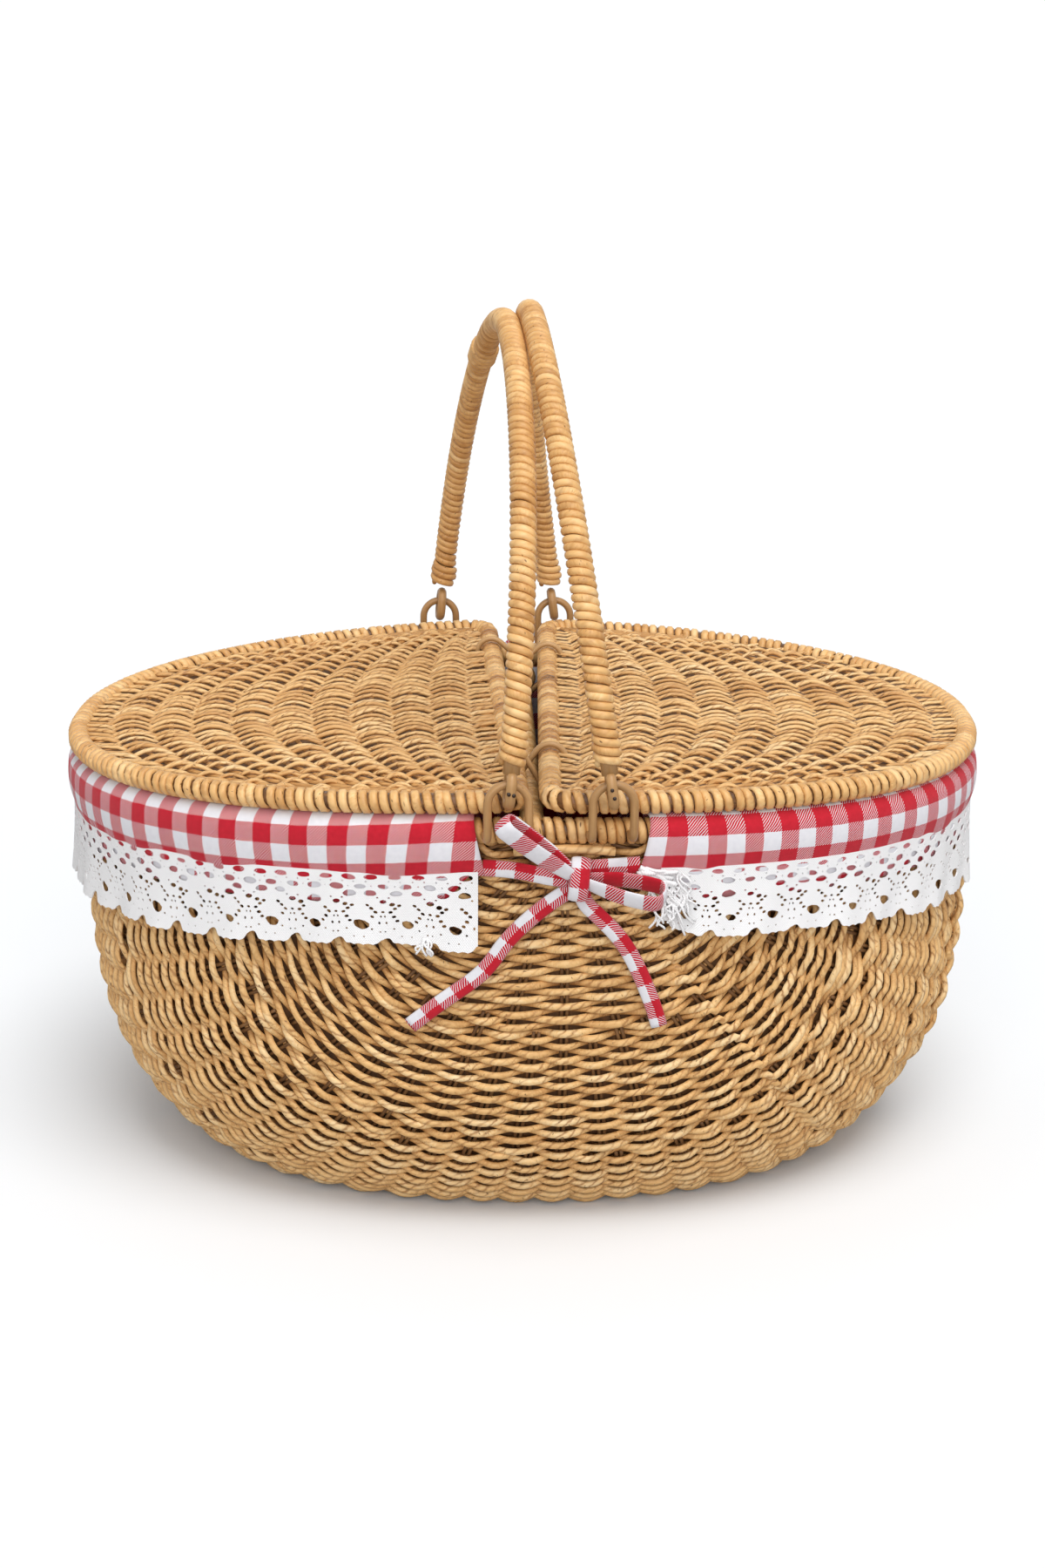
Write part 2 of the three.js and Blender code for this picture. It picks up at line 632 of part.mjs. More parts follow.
// Cuff: cloth laid over the hoop from inside and hanging down outside it
function cuff([from, to]) {
  const bends = [195, 145, 95, 45, 0];
  const line = (radius) => [
    ...bends.map((degrees) => {
      const angle = THREE.MathUtils.degToRad(degrees);
      return [radius * Math.cos(angle), radius * Math.sin(angle)];
    }),
    [radius - CUFF_TUCK, -CUFF_DROP],
  ];
  const section = [...line(cuffInside + CLOTH), ...line(cuffInside).reverse()];
  const once = hoopAngles();
  const twice = [...once, ...once.map((angle) => angle + round)];
  const angles = twice.filter((angle) => angle > from - hair && angle < to + hair);
  return skin(angles.map((angle) => section.map(([out, up]) => rimPoint(angle, out, up))));
}

// Lace: a band that hangs from the cuff in shallow folds, with a scalloped lower edge
function lace([from, to]) {
  const length = (Math.PI / 2) * (hoopHalf[0] + hoopHalf[1]); // near enough half the rim
  const scallops = Math.round(length / LACE_SCALLOP);
  const perScallop = 2;
  const steps = scallops * perScallop;
  const rings = Array.from({ length: steps + 1 }, (_, k) => {
    const angle = from + ((to - from) * k) / steps;
    const fold = LACE_WAVE * Math.sin((2 * Math.PI * k) / (LACE_FOLD * perScallop));
    const low = -CUFF_DROP - LACE_DROP - (k % perScallop ? LACE_POINT / 2 : -LACE_POINT / 2);
    const high = -CUFF_DROP - FIT;
    return [
      rimPoint(angle, cuffHem - LACE_CLOTH / 2, high),
      rimPoint(angle, cuffHem + LACE_CLOTH / 2, high),
      rimPoint(angle, cuffHem + LACE_CLOTH / 2 + fold, low),
      rimPoint(angle, cuffHem - LACE_CLOTH / 2 + fold, low),
    ];
  });
  return skin(rings);
}

// Bow: ties from the ends of the cuffs to a knot, two loops and two tails
const knotY = -(bodyHalf[1] + KNOT.depth / 2 + CLOTH_FIT + KNOT_OUT);
function knot() {
  const ball = new THREE.SphereGeometry(0.5, 10, 7).rotateX(Math.PI / 2);
  return ball.scale(KNOT.width, KNOT.depth, KNOT.height).translate(KNOT.x, knotY, knotHeight);
}
function ribbon(path, across) {
  return carry(path, strip(TIE_WIDTH, TIE_CLOTH), () => across);
}
function tie(side, cuffEnd) {
  const hem = grown(hoopHalf, cuffHem);
  const start = (cuffEnd * hem[0]) / hoopHalf[0] - 2 * side * FIT;
  const behind = Math.sqrt(1 - (TIE_BEHIND / (KNOT.depth / 2)) ** 2); // the knot's width there, as a share
  const from = point(start, 0, RIM_HEIGHT - CUFF_DROP - droop(start));
  const to = point(KNOT.x + side * ((KNOT.width / 2) * behind + CLOTH_FIT), 0, knotHeight);
  const wall = (x) => -planDepth(hem, x);
  const steps = 4;
  const path = Array.from({ length: steps + 1 }, (_, k) => {
    const share = k / steps;
    const at = from.clone().lerp(to, share);
    at.y = wall(at.x) + (knotY + TIE_BEHIND - wall(to.x)) * share ** 2; // comes forward to the knot
    return at;
  });
  return ribbon(path, UP);
}
function bowLoop(tip) {
  const middle = point(KNOT.x, knotY, knotHeight);
  const end = point(tip.x, knotY - tip.out, RIM_HEIGHT - tip.drop);
  const towards = end.clone().sub(middle).normalize();
  const size = point(KNOT.width / 2, KNOT.depth / 2, KNOT.height / 2);
  const start = middle.addScaledVector(towards, 1 / towards.clone().divide(size).length() + CLOTH_FIT);
  const heading = end.clone().sub(start);
  const reach = heading.length();
  heading.normalize();
  const across = heading.clone().cross(ALONG_BAR).normalize();
  const depth = across.clone().cross(heading);
  const steps = 14;
  const path = Array.from({ length: steps + 1 }, (_, k) => {
    const turn = (Math.PI * k) / steps;
    const open = BOW_OPEN * (BOW_CLOSED + (1 - BOW_CLOSED) * Math.sin(turn));
    return start
      .clone()
      .addScaledVector(heading, reach * Math.sin(turn))
      .addScaledVector(depth, -open * Math.cos(turn));
  });
  return ribbon(path, across);
}
function bowTail(tip) {
  const top = knotHeight - KNOT.height / 2;
  const bottom = RIM_HEIGHT - tip.drop;
  const steps = 8;
  const path = Array.from({ length: steps + 1 }, (_, k) => {
    const share = k / steps;
    const x = KNOT.x + (tip.x - KNOT.x) * (TAIL_START + (1 - TAIL_START) * share);
    const z = top + (bottom - top) * share - 2 * FIT;
    return point(x, -(wallDepth(x, z) + TIE_CLOTH / 2 + TAIL_FIT), z);
  });
  const across = path[steps].clone().sub(path[0]).cross(ALONG_BAR).normalize();
  return ribbon(path, across);
}
function bow(end, sides, cuffEnds) {
  const group = new THREE.Group();
  const add = (side, kind, geometry) => group.add(mesh(`${end}_${sides[side]}_${kind}`, geometry, GINGHAM));
  group.add(mesh(`${end}_bow_knot`, knot(), GINGHAM));
  add(0, "tie", tie(-1, cuffEnds[0]));
  add(1, "tie", tie(1, cuffEnds[1]));
  add(0, "bow_loop", bowLoop(LEFT_LOOP));
  add(1, "bow_loop", bowLoop(RIGHT_LOOP));
  add(0, "bow_tail", bowTail(LEFT_TAIL));
  add(1, "bow_tail", bowTail(RIGHT_TAIL));
  return group;
}

// The basket
const basket = new THREE.Group();

basket.add(mesh("body_weave", bodyWeave(), WILLOW));
basket.add(mesh("rim_hoop", rimHoop(), WRAPPED_CANE));
basket.add(mesh("centre_bar", centreBar(), WRAPPED_CANE));

for (const seat of stapleSeats)
  basket.add(mesh(seat.name, staple(seat.x).applyMatrix4(stapleMatrix(seat)), BARE_CANE));

for (const [name, side] of [
  ["left", -1],
  ["right", 1],
]) {
  basket.add(mesh(`${name}_lid_frame`, lidFrame(side), WRAPPED_CANE));
  basket.add(mesh(`${name}_lid_weave`, lidWeave(side), WILLOW));
  basket.add(mesh(`${name}_front_hinge_loop`, hingeLoop(side, -loopReach[name]), BARE_CANE));
  basket.add(mesh(`${name}_back_hinge_loop`, hingeLoop(side, loopReach[name]), BARE_CANE));
}

basket.add(handle("left", -1));
basket.add(handle("right", 1));

const linerInset = WALL + CLOTH_FIT;
const linerTop = bodyTop - HOOP_ROD / 4;
basket.add(
  mesh("liner_bag", bowl({ inset: linerInset, wall: LINER_CLOTH, floor: linerInset, top: linerTop }), COTTON),
);
for (const [name, span] of Object.entries(cuffSpans)) {
  basket.add(mesh(`${name}_cuff`, cuff(span), GINGHAM));
  basket.add(mesh(`${name}_lace`, lace(span), COTTON));
}
const { left, right } = CUFF_ENDS;
basket.add(bow("front", ["left", "right"], [left.front, right.front]));
const backBow = bow("back", ["right", "left"], [-right.back, -left.back]);
backBow.rotation.z = Math.PI; // the front's, turned half round
basket.add(backBow);

export default basket;
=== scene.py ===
# Oval willow picnic basket: the woven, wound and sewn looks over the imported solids. Metres, front is -Y.
import math
from functools import partial

import bpy
import numpy as np
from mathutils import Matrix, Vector
from mathutils.geometry import delaunay_2d_cdt


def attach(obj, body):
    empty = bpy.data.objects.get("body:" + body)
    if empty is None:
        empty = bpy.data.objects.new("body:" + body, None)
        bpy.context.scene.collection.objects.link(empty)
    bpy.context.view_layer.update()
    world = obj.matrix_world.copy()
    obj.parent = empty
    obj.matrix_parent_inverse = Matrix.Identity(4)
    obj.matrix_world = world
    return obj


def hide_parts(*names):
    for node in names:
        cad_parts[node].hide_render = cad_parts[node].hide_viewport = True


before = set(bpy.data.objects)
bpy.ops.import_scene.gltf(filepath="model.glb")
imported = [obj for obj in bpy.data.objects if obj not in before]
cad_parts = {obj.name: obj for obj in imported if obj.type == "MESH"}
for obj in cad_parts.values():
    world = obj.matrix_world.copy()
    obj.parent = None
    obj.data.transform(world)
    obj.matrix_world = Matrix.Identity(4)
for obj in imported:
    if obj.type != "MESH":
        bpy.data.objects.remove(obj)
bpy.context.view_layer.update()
bpy.ops.object.select_all(action="DESELECT")
scene = bpy.context.scene
scene.view_settings.view_transform = "Standard"
print("frame loaded:", len(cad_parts), "nodes")

chance = np.random.default_rng(11)
upward = np.array([0, 0, 1])

# sizes that the solids have, repeated here so that every strand lies where its solid is
form = {
    "lidHalf": np.array([0.235, 0.172]), "planPower": 2.17, "lidOverhang": 0.009,
    "rimHeight": 0.213, "rimDroop": 0.045, "droopBend": 0.040,
    "wall": 0.007, "bodyTop": 0.2062, "baseShare": 0.73, "wallRise": 3.96, "wallBulge": 1.24,
    "hoopRod": 0.0065, "lidRod": 0.006, "lidMiddle": 0.2277, "pivotHeight": 0.2312, "stapleOut": 0.1811,
    "leftHinge": (-0.0015, -0.021), "rightHinge": (0.013, 0.014), "centreBar": (0.005, -0.0035),
}
hoopHalf = form["lidHalf"] - form["lidOverhang"]
bodyHalf = hoopHalf + form["wall"] / 2


def unit(rows):
    return rows / np.maximum(np.linalg.norm(rows, axis=-1, keepdims=True), 1e-12)


def planPoint(half, angle):
    c, s = np.cos(angle), np.sin(angle)
    power = 2 / form["planPower"]
    return half[0] * np.sign(c) * np.abs(c) ** power, half[1] * np.sign(s) * np.abs(s) ** power


def planDepth(half, x):
    power = form["planPower"]
    return half[1] * np.maximum(0, 1 - np.abs(x / half[0]) ** power) ** (1 / power)


def planAngle(half, x):
    return np.arccos(np.sign(x) * np.abs(x / half[0]) ** (form["planPower"] / 2))


def droop(x):
    return form["rimDroop"] * (np.hypot(x, form["droopBend"]) - form["droopBend"])


def wallShare(height):
    lift = 1 - (1 - np.clip(height, 0, 1)) ** form["wallRise"]
    return form["baseShare"] + (1 - form["baseShare"]) * lift ** (1 / form["wallBulge"])


def wallDepth(x, z):
    share = wallShare(z / form["bodyTop"])
    return planDepth((bodyHalf[0] * share, bodyHalf[1] * share), x)


def crossing(line, y):
    return (line[0] + line[1]) / 2 + (line[1] - line[0]) / 2 * (y / form["lidHalf"][1])


def rimPoint(angle, out, up):
    x, y = planPoint(hoopHalf, angle)
    ex, ey = planPoint(hoopHalf + 0.001, angle)
    away = unit(np.stack([ex - x, ey - y], -1))
    x, y = x + out * away[..., 0], y + out * away[..., 1]
    return np.stack([x, y, form["rimHeight"] + up - droop(x)], -1)


def halfTurn(rows):
    return rows * np.array([-1, -1, 1])


def smoothNoise(count, every, seed):
    source = np.random.default_rng(seed)
    knots = source.uniform(-1, 1, max(4, int(count / every) + 3))
    place = np.linspace(0, len(knots) - 1, count)
    low = np.floor(place).astype(int).clip(0, len(knots) - 2)
    share = place - low
    share = share * share * (3 - 2 * share)
    return knots[low] * (1 - share) + knots[low + 1] * share


def runLength(line):
    return np.r_[0, np.cumsum(np.linalg.norm(np.diff(line, axis=0), axis=1))]


# what a line has at these places along it
def pick(line, length, place):
    return np.stack([np.interp(place, length, column) for column in line.T], -1)


def ringed(path, closed):
    return np.vstack([path, path[:1]]) if closed else path


def resample(path, count, closed=False):
    line = ringed(path, closed)
    length = runLength(line)
    return pick(line, length, np.linspace(0, length[-1], count, endpoint=not closed))


def rounded(path, rounds=3):
    for _ in range(rounds):
        cut = np.empty((2 * len(path) - 2, 3))
        cut[0::2] = path[:-1] * 0.75 + path[1:] * 0.25
        cut[1::2] = path[:-1] * 0.25 + path[1:] * 0.75
        path = np.vstack([path[:1], cut, path[-1:]])
    return path


# a strand of round section
def rod(path, up, radius, tone=0.5, **more):
    return {"path": path, "up": up, "wide": radius, "thick": radius, "tone": tone, **more}


# a mesh of strands, each an oval section carried along a path, with UVs in metres along it
def strandMesh(name, strands, material, sides=8):
    turn = np.arange(sides) * 2 * np.pi / sides
    points, quads, uvs, tones = [], [], [], []
    start = 0
    for strand in strands:
        path = np.asarray(strand["path"], float)
        count = len(path)
        closed = strand.get("closed", False)
        travel = np.roll(path, -1, 0) - np.roll(path, 1, 0) if closed else np.gradient(path, axis=0)
        travel = unit(travel)
        up = np.broadcast_to(strand["up"], path.shape)
        up = unit(up - travel * (up * travel).sum(1, keepdims=True))
        side = np.cross(up, travel)
        wide = np.broadcast_to(strand["wide"], count)[:, None, None]
        thick = np.broadcast_to(strand["thick"], count)[:, None, None]
        ring = path[:, None] + side[:, None] * wide * np.cos(turn)[None, :, None]
        ring = ring + up[:, None] * thick * np.sin(turn)[None, :, None]
        i = np.arange(count if closed else count - 1)[:, None]
        k = np.arange(sides)[None]
        nextRing, nextSide = (i + 1) % count, (k + 1) % sides
        corners = [i * sides + k, i * sides + nextSide, nextRing * sides + nextSide, nextRing * sides + k]
        face = np.stack(np.broadcast_arrays(*corners), -1).reshape(-1, 4)
        length = runLength(ringed(path, closed)) + strand.get("shift", 0)
        girth = strand.get("girth", 1) / sides
        near, far = length[i] + 0 * k, length[i + 1] + 0 * k
        turnFrom = strand.get("roundShift", 0)
        low, high = (k + 0 * i) * girth + turnFrom, (k + 1 + 0 * i) * girth + turnFrom
        coords = np.stack([np.stack([near, low], -1), np.stack([near, high], -1),
                           np.stack([far, high], -1), np.stack([far, low], -1)], -2).reshape(-1, 4, 2)
        if not closed:
            for ringAt, back in ((0, True), (count - 1, False)):
                for j in range(sides // 2 - 1):
                    cap = np.array([j, j + 1, sides - 2 - j, sides - 1 - j]) + ringAt * sides
                    face = np.vstack([face, cap[::-1] if back else cap])
                    spot = np.array([length[ringAt], 0.5 * strand.get("girth", 1)])
                    coords = np.concatenate([coords, np.tile(spot, (1, 4, 1))])
        points.append(ring.reshape(-1, 3))
        quads.append(face + start)
        uvs.append(coords)
        tones.append(np.repeat(np.broadcast_to(strand.get("tone", 0.5), count), sides))
        start += count * sides
    mesh = bpy.data.meshes.new(name)
    mesh.from_pydata(np.vstack(points).tolist(), [], np.vstack(quads).tolist())
    mesh.uv_layers.new(name="UVMap").data.foreach_set("uv", np.concatenate(uvs).ravel())
    mesh.attributes.new("tone", "FLOAT", "POINT").data.foreach_set("value", np.concatenate(tones))
    return placed(name, mesh, material)


def placed(name, mesh, material):
    piece = bpy.data.objects.new(name, mesh)
    scene.collection.objects.link(piece)
    piece.data.materials.clear()
    piece.data.materials.append(material)
    selectOnly(piece)
    bpy.ops.object.shade_smooth()
    return piece


def selectOnly(piece):
    bpy.ops.object.select_all(action="DESELECT")
    piece.select_set(True)
    bpy.context.view_layer.objects.active = piece


def thicken(piece, thick, offset):
    solid = piece.modifiers.new("clothThickness", "SOLIDIFY")
    solid.thickness = thick
    solid.offset = offset
    selectOnly(piece)
    bpy.ops.object.modifier_apply(modifier=solid.name)


def settle(piece, body, slotName, *nodes):
    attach(piece, body)
    if nodes:
        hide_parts(*nodes)
    return piece


# a grid of points as a cloth surface, with UVs in metres given per point
def clothGrid(name, grid, coords, material, thick, closedAcross=False):
    rows, columns = grid.shape[:2]
    i = np.arange(rows - 1)[:, None]
    k = np.arange(columns if closedAcross else columns - 1)[None]
    after = (k + 1) % columns
    corners = [i * columns + k, i * columns + after, (i + 1) * columns + after, (i + 1) * columns + k]
    quads = np.stack(np.broadcast_arrays(*corners), -1).reshape(-1, 4)
    mesh = bpy.data.meshes.new(name)
    mesh.from_pydata(grid.reshape(-1, 3).tolist(), [], quads.tolist())
    mesh.uv_layers.new(name="UVMap").data.foreach_set("uv", coords.reshape(-1, 2)[quads].ravel())
    piece = placed(name, mesh, material)
    thicken(piece, thick, -1)
    return piece


def feed(tree, socket, value):
    if isinstance(value, bpy.types.NodeSocket):
        tree.links.new(value, socket)
    else:
        socket.default_value = (*value, 1) if isinstance(value, tuple) else value


# a shader node; an input is given by its name, or by its number as i0, i1 and so on
def addNode(tree, kind, settings=None, **inputs):
    made = tree.nodes.new("ShaderNode" + kind)
    for key, value in (settings or {}).items():
        setattr(made, key, value)
    for key, value in inputs.items():
        feed(tree, made.inputs[int(key[1:]) if key[1:].isdigit() else key], value)
    return made


def calculate(tree, operation, first, second=0.0, third=0.0):
    return addNode(tree, "Math", {"operation": operation}, i0=first, i1=second, i2=third).outputs[0]


def mixColour(tree, share, first, second):
    return addNode(tree, "Mix", {"data_type": "RGBA"}, i0=share, i6=first, i7=second).outputs[2]


def noise(tree, vector, scale, detail):
    return addNode(tree, "TexNoise", Vector=vector, Scale=scale, Detail=detail).outputs["Fac"]


def ramp(tree, factor, stops):
    made = addNode(tree, "ValToRGB", Fac=factor)
    while len(made.color_ramp.elements) < len(stops):
        made.color_ramp.elements.new(1)
    for element, (place, colour) in zip(made.color_ramp.elements, stops):
        element.position = place
        element.color = (*colour, 1)
    return made.outputs[0]


def newFinish(name):
    material = bpy.data.materials.new(name)
    material.use_nodes = True
    tree = material.node_tree
    return material, tree, tree.nodes["Principled BSDF"], partial(calculate, tree)


def setShader(tree, shader, values):
    for name, value in values.items():
        feed(tree, shader.inputs[name], value)


# peeled willow and cane: streaks along the strand, slanting twist marks, small dark buds
def caneFinish(name, look):
    material, tree, shader, calc = newFinish(name)
    place = addNode(tree, "TexCoord").outputs
    tone = addNode(tree, "Attribute", {"attribute_name": "tone"}).outputs["Fac"]
    along, around, _ = addNode(tree, "SeparateXYZ", Vector=place["UV"]).outputs
    shuffle = calc("MULTIPLY", tone, look["shuffle"])

    def onStrand(long, girth):
        spot = addNode(tree, "CombineXYZ", X=calc("MULTIPLY", along, long),
                       Y=calc("MULTIPLY_ADD", around, girth, shuffle), Z=shuffle)
        return spot.outputs[0]

    fibre = noise(tree, onStrand(look["fibreLong"], look["fibreRound"]), 1.0, 3.0)
    patch = noise(tree, place["Object"], look["patchScale"], 2.0)
    level = calc("MULTIPLY_ADD", tone, look["toneShare"], calc("MULTIPLY", fibre, look["fibreShare"]))
    level = calc("MULTIPLY_ADD", patch, look["patchShare"], level)
    colour = ramp(tree, level, look["colours"])
    slant = calc("MULTIPLY_ADD", along, 2 * math.pi / look["markPitch"],
                 calc("MULTIPLY", around, 2 * math.pi * look["markSlant"]))
    warp = noise(tree, place["Object"], look["warpScale"], 1.0)
    slant = calc("MULTIPLY_ADD", warp, look["markWarp"], slant)
    wave = calc("POWER", calc("MULTIPLY_ADD", calc("SINE", slant), 0.5, 0.5), look["markPower"])
    low, high = look["markPatches"]
    gate = addNode(tree, "MapRange", Value=patch, i1=low, i2=high).outputs[0]
    mark = calc("MULTIPLY", calc("MULTIPLY", wave, gate), look["markDepth"])
    colour = mixColour(tree, mark, colour, look["markColour"])
    bud = addNode(tree, "TexVoronoi", Vector=onStrand(look["budLong"], look["budRound"]), Scale=1.0)
    size = look["budSize"]
    bud = addNode(tree, "MapRange", Value=bud.outputs["Distance"], i1=size, i2=size * 0.4).outputs[0]
    colour = mixColour(tree, calc("MULTIPLY", bud, look["budDepth"]), colour, look["budColour"])
    smooth, coarse = look["roughness"]
    rough = addNode(tree, "MapRange", Value=fibre, i3=smooth, i4=coarse).outputs[0]
    height = calc("MULTIPLY_ADD", fibre, 0.6, calc("MULTIPLY", mark, -0.6))
    height = calc("MULTIPLY_ADD", bud, -0.5, height)
    bump = addNode(tree, "Bump", Height=height, Strength=look["bump"], Distance=0.0006).outputs[0]
    setShader(tree, shader, {"Base Color": colour, "Normal": bump, "Roughness": rough,
                             "Specular IOR Level": 0.4})
    return material


willow = {
    "fibreLong": 110.0, "fibreRound": 6.0, "patchScale": 95.0, "warpScale": 260.0, "shuffle": 37.0,
    "toneShare": 0.42, "fibreShare": 0.50, "patchShare": 0.22,
    "colours": [(0.02, (0.13, 0.055, 0.016)), (0.20, (0.36, 0.155, 0.043)), (0.42, (0.61, 0.320, 0.107)),
                (0.66, (0.82, 0.510, 0.213)), (0.92, (0.94, 0.710, 0.400))],
    "markPitch": 0.0054, "markSlant": 2.2, "markWarp": 5.0, "markPower": 4.0, "markDepth": 0.80,
    "markColour": (0.33, 0.135, 0.036), "markPatches": (0.36, 0.60),
    "budLong": 75.0, "budRound": 3.0, "budSize": 0.16, "budDepth": 0.85, "budColour": (0.11, 0.043, 0.012),
    "roughness": (0.42, 0.62), "bump": 0.5,
}
woundCane = {
    **willow, "fibreLong": 60.0, "fibreRound": 5.0, "patchScale": 70.0,
    "colours": [(0.02, (0.10, 0.042, 0.012)), (0.18, (0.42, 0.190, 0.055)), (0.42, (0.66, 0.355, 0.122)),
                (0.66, (0.82, 0.505, 0.208)), (0.92, (0.93, 0.670, 0.350))],
    "markPitch": 0.0110, "markSlant": 0.5, "markPower": 3.0, "markDepth": 0.35, "budSize": 0.13,
    "roughness": (0.32, 0.5), "bump": 0.35,
}
# painted shade: a dark willow for the rib sticks and for the sheets behind the weaves, standing for the
# shade in the gaps between the weavers
gapShadeWillow = {
    **willow, "colours": [(0.18, (0.070, 0.030, 0.010)), (0.5, (0.150, 0.070, 0.024)),
                          (0.8, (0.260, 0.135, 0.050)), (0.95, (0.330, 0.180, 0.070))],
    "markDepth": 0.3, "roughness": (0.5, 0.7),
}
bareCane = {
    **willow, "fibreLong": 40.0, "fibreRound": 7.0, "patchScale": 40.0,
    "colours": [(0.02, (0.03, 0.014, 0.006)), (0.18, (0.20, 0.100, 0.032)), (0.42, (0.34, 0.180, 0.066)),
                (0.66, (0.46, 0.255, 0.100)), (0.92, (0.56, 0.330, 0.140))],
    "markDepth": 0.12, "budSize": 0.07, "roughness": (0.28, 0.42), "bump": 0.2,
}
willowFinish = caneFinish("peeledWillow", willow)
woundFinish = caneFinish("woundCane", woundCane)
gapShadeFinish = caneFinish("gapShadeWillow", gapShadeWillow)
bareFinish = caneFinish("bareCane", bareCane)


# red and white check: warp and weft stripes by UV, with the twill hatch where they cross
def ginghamFinish(name, look):
    material, tree, shader, calc = newFinish(name)
    place = addNode(tree, "TexCoord").outputs
    wobble = noise(tree, place["Object"], look["wobbleScale"], 2.0)
    shift = calc("MULTIPLY_ADD", wobble, look["wobble"], -look["wobble"] / 2)
    u, v, _ = addNode(tree, "SeparateXYZ", Vector=place["UV"]).outputs
    along, across = calc("ADD", u, shift), calc("ADD", v, shift)
    warp, weft = [calc("LESS_THAN", calc("FRACT", calc("DIVIDE", value, 2 * look["check"])), 0.5)
                  for value in (along, across)]
    slant = calc("FRACT", calc("DIVIDE", calc("ADD", along, across), look["twill"]))
    hatch = calc("MAXIMUM", calc("LESS_THAN", slant, look["hatch"]), calc("MULTIPLY", warp, weft))
    redShare = calc("MULTIPLY", calc("MAXIMUM", warp, weft), hatch)
    shade = noise(tree, place["Object"], look["shadeScale"], 2.0)
    red = mixColour(tree, shade, look["redDark"], look["redLight"])
    white = mixColour(tree, shade, look["whiteDark"], look["whiteLight"])
    colour = mixColour(tree, redShare, white, red)
    threads = [calc("SINE", calc("MULTIPLY", value, 2 * math.pi / look["thread"])) for value in (u, v)]
    height = calc("MULTIPLY_ADD", calc("MULTIPLY", *threads), 0.5, shade)
    bump = addNode(tree, "Bump", Height=height, Strength=0.25, Distance=0.0003).outputs[0]
    setShader(tree, shader, {"Base Color": colour, "Normal": bump, "Roughness": 0.85,
                             "Specular IOR Level": 0.25, "Sheen Weight": 0.15, "Sheen Roughness": 0.5})
    return material


gingham = {
    "check": 0.0091, "twill": 0.00135, "hatch": 0.72, "thread": 0.0005,
    "wobble": 0.0007, "wobbleScale": 180.0,
    "redDark": (0.43, 0.006, 0.018), "redLight": (0.60, 0.012, 0.030),
    "whiteDark": (0.72, 0.71, 0.76), "whiteLight": (0.84, 0.83, 0.86), "shadeScale": 420.0,
}
ginghamCloth = ginghamFinish("redCheckCotton", gingham)


# white cotton lace: fine crossing threads and a little unevenness; the colour is darker where the relief
# is low, partly random unevenness and partly painted shade between the threads
def laceFinish(name, look):
    material, tree, shader, calc = newFinish(name)
    place = addNode(tree, "TexCoord").outputs
    u, v, _ = addNode(tree, "SeparateXYZ", Vector=place["UV"]).outputs
    uneven = noise(tree, place["Object"], look["unevenScale"], 3.0)
    threads = []
    for sign in (1, -1):
        slant = calc("MULTIPLY_ADD", v, sign * look["slant"], u)
        slant = calc("MULTIPLY", slant, 2 * math.pi / look["thread"])
        threads.append(calc("SINE", calc("MULTIPLY_ADD", uneven, 2.5, slant)))
    height = calc("MULTIPLY_ADD", uneven, 1.2, calc("MAXIMUM", *threads))
    # painted shade: the colour comes from the relief, darker in the low places between the threads
    level = addNode(tree, "MapRange", Value=height, i1=-0.4, i2=1.6).outputs[0]
    colour = mixColour(tree, level, look["shadedLow"], look["litHigh"])
    bump = addNode(tree, "Bump", Height=height, Strength=0.45, Distance=0.0003).outputs[0]
    setShader(tree, shader, {"Base Color": colour, "Normal": bump, "Roughness": 0.9,
                             "Specular IOR Level": 0.2})
    return material


lace = {
    "thread": 0.0011, "slant": 0.8, "unevenScale": 650.0,
    "shadedLow": (0.82, 0.81, 0.82), "litHigh": (0.96, 0.955, 0.96),
}
laceCotton = laceFinish("laceCotton", lace)
print("materials made")

# the body: weavers over and under pairs of rib sticks that fan out from the middle of the rim
bodyWeave = {
    "poleX": 0.020, "poleWide": 0.032, "inset": 0.0050, "farthest": 0.30, "underRim": 0.0045,
    "ribs": 11, "ribAngle": 14.6, "endAngle": 0.012, "perRib": 24, "ribSpace": 0.0175, "ringEvery": 0.0028,
    "pitch": 0.0036, "wide": 0.00205, "thick": 0.0015, "over": 0.0034, "under": -0.0017, "fullBend": 0.013,
    "looseness": 0.0004, "paintedShadeUnder": 0.75, "paintedLightOver": 0.16, "upperShare": 0.45,
    "stick": 0.00095, "stickApart": 0.0013, "stickUnderRim": 0.004, "stickTones": (0.2, 0.8),
    "ribPoints": 160, "ribBunch": 2.2, "floorPoints": 40, "halvings": 40, "rounds": 6,
    "rowStart": 0.4, "rowSpare": 0.9, "spread": 1.5, "middleHeight": 0.12, "mostSplits": 4,
    "sizes": 0.14, "tones": (0.3, 0.9), "toneDrift": 0.14,
}


